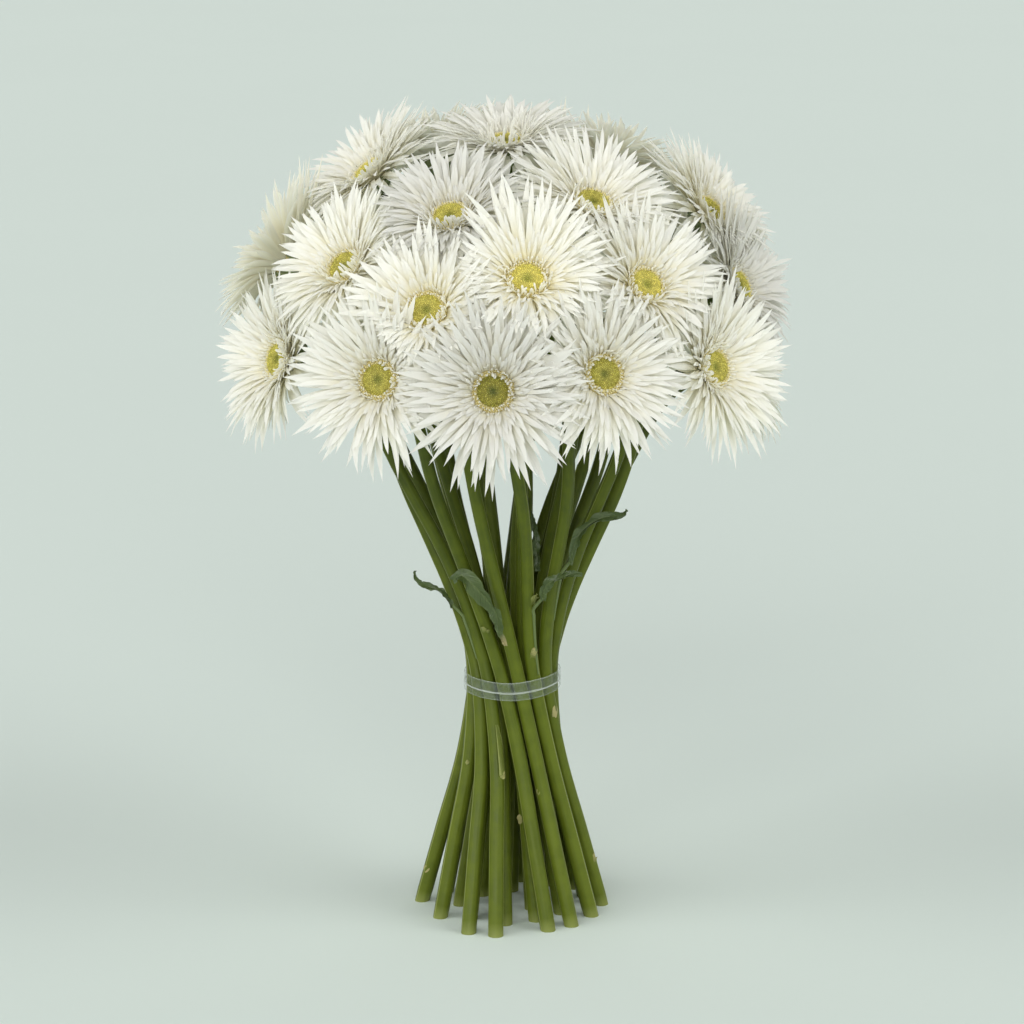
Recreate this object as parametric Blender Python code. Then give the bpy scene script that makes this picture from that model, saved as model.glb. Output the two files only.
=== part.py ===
"""A hand-tied bunch of spider gerberas that stands on its own cut ends.

The stems cross in a spiral inside a clear elastic tie, spread below it to their cut ends and
spread above it to a dome of blooms. The front of the bunch is -Y, up is +Z, and the cut ends
are level at z = 0. Every size is in metres and every angle in degrees.
"""

import math

import bmesh
import bpy
from mathutils import Vector
from mathutils.geometry import interpolate_bezier

# Where the bunch's own axis stands, so that its outline is centred on the origin.
AXIS_X, AXIS_Y = 0.00185, 0.00195

# The dome that the blooms' faces lie on.
DOME_HEIGHT = 0.355
DOME_RADIUS = 0.162
DOME_BACK_RADIUS = 0.154

# One bloom: all distances from the middle of its face, out across it and along its axis.
BLOOM_RADIUS = 0.055
BLOOM_TIPS = 14
BLOOM_NOTCH = 0.74
BLOOM_GAP = 0.0008
FACE_RADIUS, FACE_RISE = 0.012, 0.003
CREST_RADIUS, CREST_RISE = 0.030, 0.024
TIP_RISE, NOTCH_RISE = 0.018, 0.016
UNDER_RADIUS, UNDER_RISE = 0.028, -0.002
CALYX_RADIUS, CALYX_RISE = 0.011, -0.010
BASE_RADIUS, BASE_RISE = 0.0058, -0.016
FACE_DIMPLE = 0.001

# The stems: heights of the tie and of the shoulder, where they bend out towards the blooms. Their
# spread is how far out they stand beside their place in the tie.
TIE_HEIGHT = 0.160
SHOULDER_HEIGHT = 0.285
SHOULDER_TURN = -30.0
SHOULDER_SPREAD = 2.64
NECK_GAP = 0.0004
NECK_PULL = 0.42
STEM_SIDES = 8
FOOT_STEM_RADIUS = 0.0050
TIE_STEM_RADIUS = 0.0045
SHOULDER_STEM_RADIUS = 0.0041
NECK_STEM_RADIUS = 0.0036
FOOT_STEPS, SHOULDER_STEPS, NECK_STEPS = 3, 4, 6

# The rings of stems inside the tie. Blooms are in the order in which the stems stand round the
# ring: each row is the bloom's place on the dome (azimuth from the front towards +X, elevation),
# how far it stands out from there, and how far its head is turned aside and tipped up. Feet say
# how far each stem has turned round the bunch at its cut end, and how far it has spread.
OUTER_RING = {
    "radius": 0.0256,
    "first": -84.0,
    "girth": 1.0,
    "blooms": (
        (-107, 4, 0, -4, 0), (-94, 28, 0.010, -24, 0), (-70, 9, 0, 17, 0),
        (-31, 10, 0, 10, 0), (-21, 26, 0, 4, 0), (-4, 9, 0, 0, 0),
        (21, 12, 0, 5, 0), (53, 10, 0, -8, 0), (84, 24, 0.002, -26, -6),
        (98, 2, 0, -4, 0), (119, 31, 0, 6, 0), (134, 8, 0, 5, 0),
        (172, 8, 0, -7, 0), (211, 7, 0, 5, 0), (236, 31, 0, -6, 0),
    ),
    "feet": (
        (15, 1.99), (30, 2.23), (25, 2.19), (40, 1.96), (36, 2.05),
        (38, 2.13), (38, 2.34), (33, 2.13), (27, 2.31), (23, 2.08),
        (18, 2.27), (12, 2.13), (8, 2.33), (5, 2.19), (3, 2.44),
    ),
}
MIDDLE_RING = {
    "radius": 0.0155,
    "first": -81.0,
    "girth": 0.96,
    "blooms": (
        (-92, 56, 0.008, 32, -12), (-52, 34, 0, 8, 0), (-22, 50, 0, 0, 0),
        (4, 34, 0, 0, 0), (37, 31, 0, 0, 0), (92, 41, 0.012, -35, -6),
        (128, 60, 0.006, 8, 0), (163, 43, 0, 0, 0), (197, 43, 0, 0, 0),
    ),
    "feet": (
        (30, 2.28), (33, 2.10), (33, 1.90), (33, 2.20), (33, 2.34),
        (28, 2.20), (22, 2.34), (18, 2.16), (20, 2.28),
    ),
}
CORE_RING = {
    "radius": 0.0058,
    "first": 50.0,
    "girth": 0.93,
    "blooms": ((32, 54, 0, -6, 0), (-12, 83, 0, 4, -10), (228, 65, 0.006, 0, 0)),
    "feet": ((33, 2.28), (33, 2.28), (33, 2.28)),
}

# The tie: one clear strip wound twice, which climbs a little round the sides and to the right.
TIE_CLEARANCE = 0.0010
TIE_THICKNESS = 0.0008
TIE_SEGMENTS = 40
TIE_FRONT_BOTTOM, TIE_FRONT_TOP = 0.1523, 0.1635
TIE_SIDE_BOTTOM, TIE_SIDE_TOP = 0.1538, 0.1660
TIE_TILT = 0.0009
TIE_GROOVE_SHARE = 0.42
TIE_GROOVE_DEPTH = 0.0003

# The leaves: the middle line of each blade, its widths along it and the way its face looks.
LEAF_THICKNESS = 0.0010
LEAF_CUP = 0.12
LEAVES = {
    "leaf_right_upper": {
        "line": (
            (0.0370, -0.0420, 0.2460), (0.0400, -0.0440, 0.2600), (0.0455, -0.0450, 0.2700),
            (0.0550, -0.0440, 0.2765), (0.0640, -0.0425, 0.2780), (0.0705, -0.0410, 0.2785),
            (0.0738, -0.0400, 0.2815),
        ),
        "widths": (0.0030, 0.0060, 0.0075, 0.0070, 0.0060, 0.0035, 0.0008),
        "face": (0.1, -0.8, 0.6),
    },
    "leaf_left_curl": {
        "line": (
            (-0.0385, -0.0235, 0.2130), (-0.0425, -0.0240, 0.2200), (-0.0475, -0.0235, 0.2245),
            (-0.0545, -0.0215, 0.2265), (-0.0600, -0.0190, 0.2285), (-0.0628, -0.0170, 0.2320),
            (-0.0632, -0.0155, 0.2355),
        ),
        "widths": (0.0030, 0.0045, 0.0050, 0.0046, 0.0036, 0.0020, 0.0008),
        "face": (-0.1, -0.7, 0.7),
    },
    "leaf_left_hanging": {
        "line": (
            (-0.0378, -0.0490, 0.2375), (-0.0320, -0.0530, 0.2420), (-0.0245, -0.0530, 0.2350),
            (-0.0165, -0.0515, 0.2255), (-0.0112, -0.0500, 0.2175), (-0.0088, -0.0480, 0.2090),
            (-0.0075, -0.0460, 0.2010), (-0.0040, -0.0440, 0.1930),
        ),
        "widths": (0.0050, 0.0095, 0.0115, 0.0105, 0.0085, 0.0065, 0.0045, 0.0025),
        "face": (-0.2, -1.0, 0.2),
    },
    "leaf_right_middle": {
        "line": (
            (0.0200, -0.0480, 0.2240), (0.0205, -0.0500, 0.2310), (0.0245, -0.0520, 0.2370),
            (0.0310, -0.0525, 0.2400), (0.0380, -0.0510, 0.2420), (0.0450, -0.0490, 0.2412),
        ),
        "widths": (0.0030, 0.0060, 0.0070, 0.0065, 0.0050, 0.0020),
        "face": (0.0, -0.8, 0.6),
    },
    "leaf_inner": {
        "line": (
            (0.0165, -0.0270, 0.2380), (0.0160, -0.0245, 0.2480), (0.0150, -0.0225, 0.2580),
            (0.0140, -0.0225, 0.2680), (0.0125, -0.0230, 0.2770),
        ),
        "widths": (0.0030, 0.0050, 0.0055, 0.0040, 0.0012),
        "face": (0.0, -1.0, 0.0),
    },
}

# Plain finishes: base colour, roughness and metallic value.
FINISHES = {
    "stem": ((0.115, 0.155, 0.022, 1.0), 0.45, 0.0),
    "petal": ((0.80, 0.79, 0.68, 1.0), 0.60, 0.0),
    "leaf": ((0.060, 0.095, 0.025, 1.0), 0.55, 0.0),
    "tie": ((0.55, 0.60, 0.52, 1.0), 0.25, 0.0),
}


def clear_scene():
    """Remove whatever the open file holds."""
    for item in list(bpy.data.objects):
        bpy.data.objects.remove(item, do_unlink=True)


def make_material(name, finish):
    """A Principled material of one named finish."""
    colour, roughness, metallic = FINISHES[finish]
    material = bpy.data.materials.new(name)
    material.use_nodes = True
    shader = material.node_tree.nodes["Principled BSDF"]
    shader.inputs["Base Color"].default_value = colour
    shader.inputs["Roughness"].default_value = roughness
    shader.inputs["Metallic"].default_value = metallic
    return material


def add_object(name, mesh_data, finish, smooth_angle, parent):
    """Close a bmesh into a named, shaded object of its own material."""
    bmesh.ops.recalc_face_normals(mesh_data, faces=mesh_data.faces)
    mesh = bpy.data.meshes.new(name)
    mesh_data.to_mesh(mesh)
    mesh_data.free()
    mesh.materials.append(make_material(f"{name}_finish", finish))
    mesh.shade_smooth()
    mesh.set_sharp_from_angle(angle=math.radians(smooth_angle))
    item = bpy.data.objects.new(name, mesh)
    item.parent = parent
    bpy.context.scene.collection.objects.link(item)
    return item


def heading(azimuth, elevation):
    """Unit vector that looks towards an azimuth from the front and an elevation."""
    turn, rise = math.radians(azimuth), math.radians(elevation)
    level = math.cos(rise)
    return Vector((level * math.sin(turn), -level * math.cos(turn), math.sin(rise)))


def face_centre(look):
    """Middle of a bloom's face on the dome, which is a little flatter at the back."""
    azimuth, elevation, out, _, _ = look
    backness = 0.5 - 0.5 * math.cos(math.radians(azimuth))
    radius = DOME_RADIUS + (DOME_BACK_RADIUS - DOME_RADIUS) * backness + out
    return Vector((0, 0, DOME_HEIGHT)) + radius * heading(azimuth, elevation)


def face_axis(look):
    """The way that a bloom's face looks."""
    azimuth, elevation, _, turn, tip = look
    return heading(azimuth + turn, elevation + tip)


def join_rings(mesh_data, lower, upper):
    """Bridge two rings of vertices that have the same count."""
    count = len(lower)
    for here in range(count):
        there = (here + 1) % count
        mesh_data.faces.new((lower[here], lower[there], upper[there], upper[here]))


def fan(mesh_data, ring, centre):
    """Close a ring with a fan of triangles about a point."""
    for here in range(len(ring)):
        mesh_data.faces.new((ring[here], ring[(here + 1) % len(ring)], centre))


# ---------------------------------------------------------------- blooms


def reach(centre, point, out, neighbours, wanted):
    """How far a vertex may lie out from its bloom's axis before it meets a neighbour's half."""
    allowed = wanted
    for other in neighbours:
        apart = (other - centre).normalized()
        middle = (other + centre) / 2 - apart * BLOOM_GAP / 2
        room = (middle - point).dot(apart)
        slope = out.dot(apart)
        if slope > 0 and room < allowed * slope:
            allowed = room / slope
    return allowed


def bloom_ring(mesh_data, centre, facing, neighbours, count, shape):
    """One ring of a bloom; shape gives (radius, rise) for each of its count directions."""
    across = Vector((0, 0, 1)).cross(facing)
    across = across.normalized() if across.length > 0.05 else Vector((1, 0, 0))
    upward = facing.cross(across)
    ring = []
    for step in range(count):
        angle = math.tau * step / count
        radius, rise = shape(step)
        out = math.cos(angle) * across + math.sin(angle) * upward
        point = centre + rise * facing
        ring.append(mesh_data.verts.new(point + reach(centre, point, out, neighbours, radius) * out))
    return ring


def star(step):
    """Even steps are the tips of the ray florets, odd ones the notches between them."""
    if step % 2:
        return BLOOM_RADIUS * BLOOM_NOTCH, NOTCH_RISE
    return BLOOM_RADIUS, TIP_RISE


def join_to_star(mesh_data, ring, tips):
    """Bridge a plain ring to a star ring of twice its count."""
    count = len(ring)
    for here in range(count):
        there = (here + 1) % count
        tip, notch, next_tip = tips[2 * here], tips[2 * here + 1], tips[2 * there]
        mesh_data.faces.new((ring[here], tip, notch))
        mesh_data.faces.new((ring[here], notch, ring[there]))
        mesh_data.faces.new((ring[there], notch, next_tip))


def build_bloom(name, look, others, parent):
    """A flower head: star of ray florets, face, calyx and flat seat for the stem."""
    mesh_data = bmesh.new()
    centre, facing = face_centre(look), face_axis(look)
    neighbours = [face_centre(other) for other in others]

    def ring(radius, rise):
        return bloom_ring(
            mesh_data, centre, facing, neighbours, BLOOM_TIPS, lambda step: (radius, rise)
        )

    face = ring(FACE_RADIUS, FACE_RISE)
    crest = ring(CREST_RADIUS, CREST_RISE)
    tips = bloom_ring(mesh_data, centre, facing, neighbours, 2 * BLOOM_TIPS, star)
    under = ring(UNDER_RADIUS, UNDER_RISE)
    calyx = ring(CALYX_RADIUS, CALYX_RISE)
    base = ring(BASE_RADIUS, BASE_RISE)

    fan(mesh_data, face, mesh_data.verts.new(centre + FACE_DIMPLE * facing))
    join_rings(mesh_data, face, crest)
    join_to_star(mesh_data, crest, tips)
    join_to_star(mesh_data, under, tips)
    join_rings(mesh_data, under, calyx)
    join_rings(mesh_data, calyx, base)
    mesh_data.faces.new(base)
    return add_object(name, mesh_data, "petal", 40, parent)


# ---------------------------------------------------------------- stems


def level_point(radius, azimuth, height):
    """A point at a radius and an azimuth from the front, at a height."""
    turn = math.radians(azimuth)
    return Vector((radius * math.sin(turn), -radius * math.cos(turn), height))


def stem_line(radius, azimuth, look, foot_turn, foot_spread):
    """Centre line of a stem and its thickness along it, from the cut end to the bloom's seat."""
    foot = level_point(radius * foot_spread, azimuth + foot_turn, 0)
    tie = level_point(radius, azimuth, TIE_HEIGHT)
    shoulder = level_point(radius * SHOULDER_SPREAD, azimuth + SHOULDER_TURN, SHOULDER_HEIGHT)
    facing = face_axis(look)
    neck = face_centre(look) + (BASE_RISE - NECK_GAP) * facing

    through_tie = (shoulder - foot).normalized()
    through_shoulder = (neck - tie).normalized()
    spans = (
        (foot, (tie - foot).normalized(), tie, through_tie, 1 / 3, FOOT_STEPS,
         FOOT_STEM_RADIUS, TIE_STEM_RADIUS),
        (tie, through_tie, shoulder, through_shoulder, 1 / 3, SHOULDER_STEPS,
         TIE_STEM_RADIUS, SHOULDER_STEM_RADIUS),
        (shoulder, through_shoulder, neck, facing, NECK_PULL, NECK_STEPS,
         SHOULDER_STEM_RADIUS, NECK_STEM_RADIUS),
    )
    points, radii = [foot], [FOOT_STEM_RADIUS]
    for start, leave, end, arrive, pull, steps, thick, thin in spans:
        handle = pull * (end - start).length
        curve = interpolate_bezier(
            start, start + handle * leave, end - handle * arrive, end, steps + 1
        )
        points += curve[1:]
        radii += [thick + (thin - thick) * step / steps for step in range(1, steps + 1)]
    return points, radii


def build_stem(name, ring, index, parent):
    """A stem swept along its line, cut level at the foot and square at the neck."""
    look = ring["blooms"][index]
    azimuth = ring["first"] + index * 360 / len(ring["blooms"])
    points, radii = stem_line(ring["radius"], azimuth, look, *ring["feet"][index])
    mesh_data = bmesh.new()
    rings = []
    side = Vector((1, 0, 0))
    last = len(points) - 1
    for step, point in enumerate(points):
        tangent = (points[min(step + 1, last)] - points[max(step - 1, 0)]).normalized()
        if step == 0:
            tangent = Vector((0, 0, 1))
        if step == last:
            tangent = face_axis(look)
        side = (side - side.dot(tangent) * tangent).normalized()
        other = tangent.cross(side)
        radius = radii[step] * ring["girth"]
        rings.append([
            mesh_data.verts.new(point + radius * (math.cos(angle) * side + math.sin(angle) * other))
            for angle in (math.tau * turn / STEM_SIDES for turn in range(STEM_SIDES))
        ])
    for lower, upper in zip(rings, rings[1:]):
        join_rings(mesh_data, lower, upper)
    mesh_data.faces.new(rings[0])
    mesh_data.faces.new(rings[-1])
    return add_object(name, mesh_data, "stem", 50, parent)


# ---------------------------------------------------------------- tie and leaves


def build_tie(name, parent):
    """The elastic strip: two turns that touch, with a groove between them."""
    inner = OUTER_RING["radius"] + TIE_STEM_RADIUS * OUTER_RING["girth"] + TIE_CLEARANCE
    outer = inner + TIE_THICKNESS
    mesh_data = bmesh.new()
    sections = []
    for step in range(TIE_SEGMENTS):
        azimuth = 360 * step / TIE_SEGMENTS
        sideness = abs(math.sin(math.radians(azimuth)))
        tilt = TIE_TILT * math.sin(math.radians(azimuth))
        bottom = TIE_FRONT_BOTTOM + (TIE_SIDE_BOTTOM - TIE_FRONT_BOTTOM) * sideness + tilt
        top = TIE_FRONT_TOP + (TIE_SIDE_TOP - TIE_FRONT_TOP) * sideness + tilt
        groove = bottom + (top - bottom) * TIE_GROOVE_SHARE
        profile = (
            (inner, bottom), (outer, bottom), (outer - TIE_GROOVE_DEPTH, groove),
            (outer, top), (inner, top),
        )
        sections.append([mesh_data.verts.new(level_point(r, azimuth, z)) for r, z in profile])
    for here, section in enumerate(sections):
        join_rings(mesh_data, section, sections[(here + 1) % TIE_SEGMENTS])
    return add_object(name, mesh_data, "tie", 30, parent)


def build_leaf(name, leaf, parent):
    """A thin, slightly cupped blade lofted along its middle line."""
    line = [Vector(point) for point in leaf["line"]]
    face = Vector(leaf["face"]).normalized()
    last = len(line) - 1
    mesh_data = bmesh.new()
    sections = []
    for step, point in enumerate(line):
        tangent = (line[min(step + 1, last)] - line[max(step - 1, 0)]).normalized()
        across = tangent.cross(face).normalized()
        out = across.cross(tangent)
        half = leaf["widths"][step] / 2
        cup = LEAF_CUP * leaf["widths"][step] * out
        skin = LEAF_THICKNESS / 2 * out
        sections.append([
            mesh_data.verts.new(corner)
            for corner in (
                point - half * across + cup - skin, point - skin, point + half * across + cup - skin,
                point + half * across + cup + skin, point + skin, point - half * across + cup + skin,
            )
        ])
    for lower, upper in zip(sections, sections[1:]):
        join_rings(mesh_data, lower, upper)
    mesh_data.faces.new(sections[0])
    mesh_data.faces.new(sections[-1])
    return add_object(name, mesh_data, "leaf", 60, parent)


def main():
    """Build the whole bunch under one empty at the middle of its foot."""
    clear_scene()
    bunch = bpy.data.objects.new("bunch", None)
    bunch.location = (AXIS_X, AXIS_Y, 0)
    bpy.context.scene.collection.objects.link(bunch)
    rings = (OUTER_RING, MIDDLE_RING, CORE_RING)
    looks = [look for ring in rings for look in ring["blooms"]]
    for number, look in enumerate(looks, start=1):
        others = [other for other in looks if other != look]
        build_bloom(f"bloom_{number:02d}", look, others, bunch)
    number = 0
    for ring in rings:
        for index in range(len(ring["blooms"])):
            number += 1
            build_stem(f"stem_{number:02d}", ring, index, bunch)
    build_tie("tie_band", bunch)
    for name, leaf in LEAVES.items():
        build_leaf(name, leaf, bunch)


main()
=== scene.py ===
"""The looks of a hand-tied bunch of white spider gerberas.

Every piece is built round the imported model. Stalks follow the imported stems, blooms sit on the tops
of those stems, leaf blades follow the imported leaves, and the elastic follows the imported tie.
Lengths are in metres and angles in degrees, unless a name says otherwise.
"""

import logging
import math
from dataclasses import dataclass, field
from enum import Enum
from typing import Any, Iterable, Optional, Sequence

import bpy
import numpy as np
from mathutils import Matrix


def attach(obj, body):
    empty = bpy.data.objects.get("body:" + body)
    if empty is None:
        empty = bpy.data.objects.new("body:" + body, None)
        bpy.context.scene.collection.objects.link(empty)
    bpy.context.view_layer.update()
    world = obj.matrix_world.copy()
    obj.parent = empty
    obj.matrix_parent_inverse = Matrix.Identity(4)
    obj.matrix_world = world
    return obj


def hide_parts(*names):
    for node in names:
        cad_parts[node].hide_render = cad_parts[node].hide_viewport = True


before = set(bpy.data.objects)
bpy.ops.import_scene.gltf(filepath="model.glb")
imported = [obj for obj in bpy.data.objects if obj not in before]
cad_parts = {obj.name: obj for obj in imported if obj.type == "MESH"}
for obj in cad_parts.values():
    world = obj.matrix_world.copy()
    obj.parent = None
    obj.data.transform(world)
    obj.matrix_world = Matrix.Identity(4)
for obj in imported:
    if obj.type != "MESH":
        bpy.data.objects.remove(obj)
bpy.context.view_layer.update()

LOG = logging.getLogger("gerberas")
MM = 0.001
FULL_TURN = 2.0 * math.pi
GOLDEN_ANGLE = math.radians(137.508)
UP = np.array([0.0, 0.0, 1.0])
RIGHT = np.array([1.0, 0.0, 0.0])
NO_GRAIN = np.zeros((1, 1, 1, 3))
SKIN_GRAIN = 300.0
SHARP_BEND = 50.0

Array = np.ndarray
Material = bpy.types.Material
Socket = bpy.types.NodeSocket
Colour = tuple[float, float, float]
Span = tuple[float, float]


class Slot(str, Enum):
    """The finishes that the record names."""

    PETAL = "petal"
    DISC = "disc"
    CALYX = "calyx"
    STEM = "stem"
    LEAF = "leaf"
    TIE = "tie"


class Outline(Enum):
    """How a floret or scale narrows along its length, as (share of length, share of width) pairs."""

    POINTED = ((0.0, 0.55), (0.20, 0.78), (0.45, 1.0), (0.65, 0.90), (0.82, 0.58), (1.0, 0.07))
    SLENDER = ((0.0, 0.65), (0.20, 0.85), (0.50, 1.0), (0.75, 0.92), (0.90, 0.60), (1.0, 0.12))
    BLUNT = ((0.0, 0.62), (0.30, 0.70), (0.60, 0.85), (0.80, 1.18), (0.93, 1.05), (1.0, 0.55))
    SCALE = ((0.0, 0.85), (0.30, 1.0), (0.60, 0.85), (0.85, 0.45), (1.0, 0.08))

    def widths(self, along: Array) -> Array:
        """Gives the share of full width at each share of the length."""
        stops, shares = zip(*self.value)
        return np.interp(along, stops, shares)


class Section(Enum):
    """Cross-sections as (across, rise, thickness) corners: rise is a share of the channel's depth."""

    STRAP = ((1, 1, 0), (0, 0, 1), (-1, 1, 0), (0, 0, -1))
    TROUGH = ((1, 1, 0), (0.45, 0.15, 1), (-0.45, 0.15, 1), (-1, 1, 0), (-0.45, 0.15, -1),
              (0.45, 0.15, -1))

    def corners(self) -> Array:
        """Gives the corners as an array of shape (corners, 3)."""
        return np.array(self.value, float)


# Geometry


def unit(vectors: Array) -> Array:
    """Gives vectors of length one along the last axis."""
    return vectors / np.maximum(np.linalg.norm(vectors, axis=-1, keepdims=True), 1e-12)


def tangents(points: Array) -> Array:
    """Gives the unit direction along curves whose points lie on the last axis but one."""
    return unit(np.gradient(points, axis=-2))


def square_to(direction: Array, hint: Array) -> Array:
    """Gives unit vectors square to direction, as near to hint as they can be."""
    return unit(hint - np.sum(hint * direction, axis=-1, keepdims=True) * direction)


def rolled(side: Array, upper: Array, roll: Array) -> tuple[Array, Array]:
    """Turns the two vectors across a line by an angle in radians."""
    return np.cos(roll) * side + np.sin(roll) * upper, np.cos(roll) * upper - np.sin(roll) * side


def even_turns(count: int) -> Array:
    """Gives angles in radians, spaced evenly round a circle."""
    return np.linspace(0, FULL_TURN, count, endpoint=False)


def turn_between(a: Array, b: Any) -> Array:
    """Gives the angle in radians between headings, half a turn at most."""
    return np.abs((a - b + math.pi) % FULL_TURN - math.pi)


def out_and_round(turn: Array) -> tuple[Array, Array]:
    """Gives the vectors outward and round at each angle, of shape (angles, 1, 3)."""
    flat = np.zeros(len(turn))
    return (np.stack([np.cos(turn), np.sin(turn), flat], -1)[:, None],
            np.stack([-np.sin(turn), np.cos(turn), flat], -1)[:, None])


def smooth_curve(points: Array, count: int) -> Array:
    """Draws a smooth curve through points.

    Args:
        points: The points that the curve passes through, shape (n, width).
        count: How many points to return.

    Returns:
        Points spaced evenly by the share of the way along, shape (count, width).
    """
    ends = np.vstack([2 * points[0] - points[1], points, 2 * points[-1] - points[-2]])
    place = np.linspace(0, len(points) - 1, count)
    first = np.minimum(place.astype(int), len(points) - 2)
    t = (place - first)[:, None]
    a, b, c, d = (ends[first + k] for k in range(4))
    return 0.5 * (2 * b + (c - a) * t + (2 * a - 5 * b + 4 * c - d) * t**2
                  + (3 * b - a - 3 * c + d) * t**3)


def strap_rings(spine: Array, side: Array, upper: Array, across: Array, rise: Array) -> Array:
    """Lays a cross-section at every point of middle lines.

    Args:
        spine: The points of the middle lines.
        side: The unit vector to the side at each point.
        upper: The unit vector upward at each point.
        across: How far each corner stands to the side.
        rise: How far each corner stands up.

    Returns:
        The corners, with one more axis than the spine.
    """
    return (spine[..., None, :] + across[..., None] * side[..., None, :]
            + rise[..., None] * upper[..., None, :])


def tube_rings(line: Array, hint: Array, radius: Array, turn: Array) -> Array:
    """Lays round rings along a line.

    Args:
        line: The points of the line.
        hint: The vector that the angle zero points to, as near as it can.
        radius: The radius at each point, or at each point and angle.
        turn: The angles round the ring, in radians.

    Returns:
        Points of shape (points, angles, 3).
    """
    ahead = tangents(line)
    side = square_to(ahead, hint)
    front = np.cross(ahead, side)
    return line[:, None] + radius[..., None] * (np.cos(turn)[:, None] * side[:, None]
                                                + np.sin(turn)[:, None] * front[:, None])


def welded(node: str) -> tuple[Array, list[set[int]]]:
    """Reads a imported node's mesh with its split vertices joined.

    Args:
        node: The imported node.

    Returns:
        The distinct points, and for each point the set of points that it shares an edge with.
    """
    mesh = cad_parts[node].data
    flat = np.zeros(len(mesh.vertices) * 3)
    mesh.vertices.foreach_get("co", flat)
    points, index = np.unique(flat.reshape(-1, 3).round(6), axis=0, return_inverse=True)
    index = index.ravel()
    links: list[set[int]] = [set() for _ in points]
    for edge in mesh.edges:
        a, b = (int(index[v]) for v in edge.vertices)
        if a != b:
            links[a].add(b)
            links[b].add(a)
    return points, links


def rings_of(points: Array, links: list[set[int]], start: Iterable[int]) -> list[Array]:
    """Walks a tube of rings from one end to the other.

    Args:
        points: The tube's distinct points.
        links: The points that each point shares an edge with.
        start: The points of the first ring.

    Returns:
        The points of each ring in turn.
    """
    ring, seen, found = set(start), set(), []
    while ring:
        found.append(points[sorted(ring)])
        seen |= ring
        ring = set().union(*(links[v] for v in ring)) - seen
    return found


class Draft:
    """Gathers patches of mesh with their values at each vertex, and turns them into one object."""

    def __init__(self) -> None:
        """Starts an empty draft."""
        self.points: list[Array] = []
        self.faces: list[Array] = []
        self.values: dict[str, list[Array]] = {}
        self.size = 0

    def add(self, points: Array, faces: Sequence[Array], **values: Array) -> None:
        """Adds one patch.

        Args:
            points: Vertices, shape (n, 3).
            faces: Arrays of vertex numbers, one array for each count of corners.
            **values: One number or vector for each vertex.
        """
        self.points.append(points)
        self.faces += [f + self.size for f in faces]
        for name, value in values.items():
            self.values.setdefault(name, []).append(value)
        self.size += len(points)

    def add_sweeps(self, rings: Array, tips: Optional[Array], **values: Any) -> None:
        """Adds closed tubes that run through rings.

        Args:
            rings: Vertices of shape (tubes, rings, corners, 3), corners anticlockwise from the tip.
            tips: The point that each tube ends in, or None for a flat end.
            **values: Numbers that broadcast to (tubes, rings, corners), or vectors with four axes.
        """
        tubes, count, corners = rings.shape[:3]
        i = np.arange(corners)
        after = (i + 1) % corners
        step = corners * np.arange(count - 1)[:, None]
        walls = np.stack([step + i, step + after, step + corners + after, step + corners + i], -1)
        last = corners * (count - 1)
        own = count * corners + (tips is not None)
        flat = rings.reshape(tubes, count * corners, 3)
        shapes = [walls.reshape(-1, 4), i[::-1][None]]
        if tips is None:
            shapes.append((last + i)[None])
        else:
            flat = np.concatenate([flat, tips[:, None]], axis=1)
            shapes.append(np.stack([last + i, last + after, np.full(corners, own - 1)], -1))
        offset = (own * np.arange(tubes))[:, None, None]
        faces = [(s[None] + offset).reshape(-1, s.shape[-1]) for s in shapes]
        spread = {}
        for name, value in values.items():
            value = np.asarray(value, float)
            extra = value.shape[3:]
            full = np.broadcast_to(value, (tubes, count, corners) + extra)
            full = full.reshape((tubes, count * corners) + extra)
            if tips is not None:
                full = np.concatenate([full, full[:, -1:]], axis=1)
            spread[name] = full.reshape((-1,) + extra)
        self.add(flat.reshape(-1, 3), faces, **spread)

    def build(self, name: str, finish: Material) -> bpy.types.Object:
        """Makes the object and links it to the scene.

        Args:
            name: The object's name.
            finish: Its material.

        Returns:
            The new object.
        """
        mesh = bpy.data.meshes.new(name)
        corners = np.concatenate([f.ravel() for f in self.faces])
        totals = np.concatenate([np.full(len(f), f.shape[1]) for f in self.faces])
        mesh.vertices.add(self.size)
        mesh.vertices.foreach_set("co", np.concatenate(self.points).ravel())
        mesh.loops.add(len(corners))
        mesh.loops.foreach_set("vertex_index", corners)
        mesh.polygons.add(len(totals))
        mesh.polygons.foreach_set("loop_start", np.concatenate([[0], np.cumsum(totals)[:-1]]))
        mesh.polygons.foreach_set("use_smooth", np.ones(len(totals), bool))
        mesh.update(calc_edges=True)
        for key, parts in self.values.items():
            value = np.concatenate(parts)
            kind, label = ("FLOAT", "value") if value.ndim == 1 else ("FLOAT_VECTOR", "vector")
            mesh.attributes.new(key, kind, "POINT").data.foreach_set(label, value.ravel())
        mesh.set_sharp_from_angle(angle=math.radians(SHARP_BEND))
        mesh.materials.append(finish)
        piece = bpy.data.objects.new(name, mesh)
        bpy.context.scene.collection.objects.link(piece)
        return piece

    def hand_over(self, name: str, finish: Material, slot: Slot, node: str) -> None:
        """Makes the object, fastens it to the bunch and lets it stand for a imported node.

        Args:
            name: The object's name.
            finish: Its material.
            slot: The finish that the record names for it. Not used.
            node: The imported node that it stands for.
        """
        piece = self.build(name, finish)
        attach(piece, "root")
        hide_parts(node)
        LOG.info("%s: %d faces", piece.name, len(piece.data.polygons))


# Finishes


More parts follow.
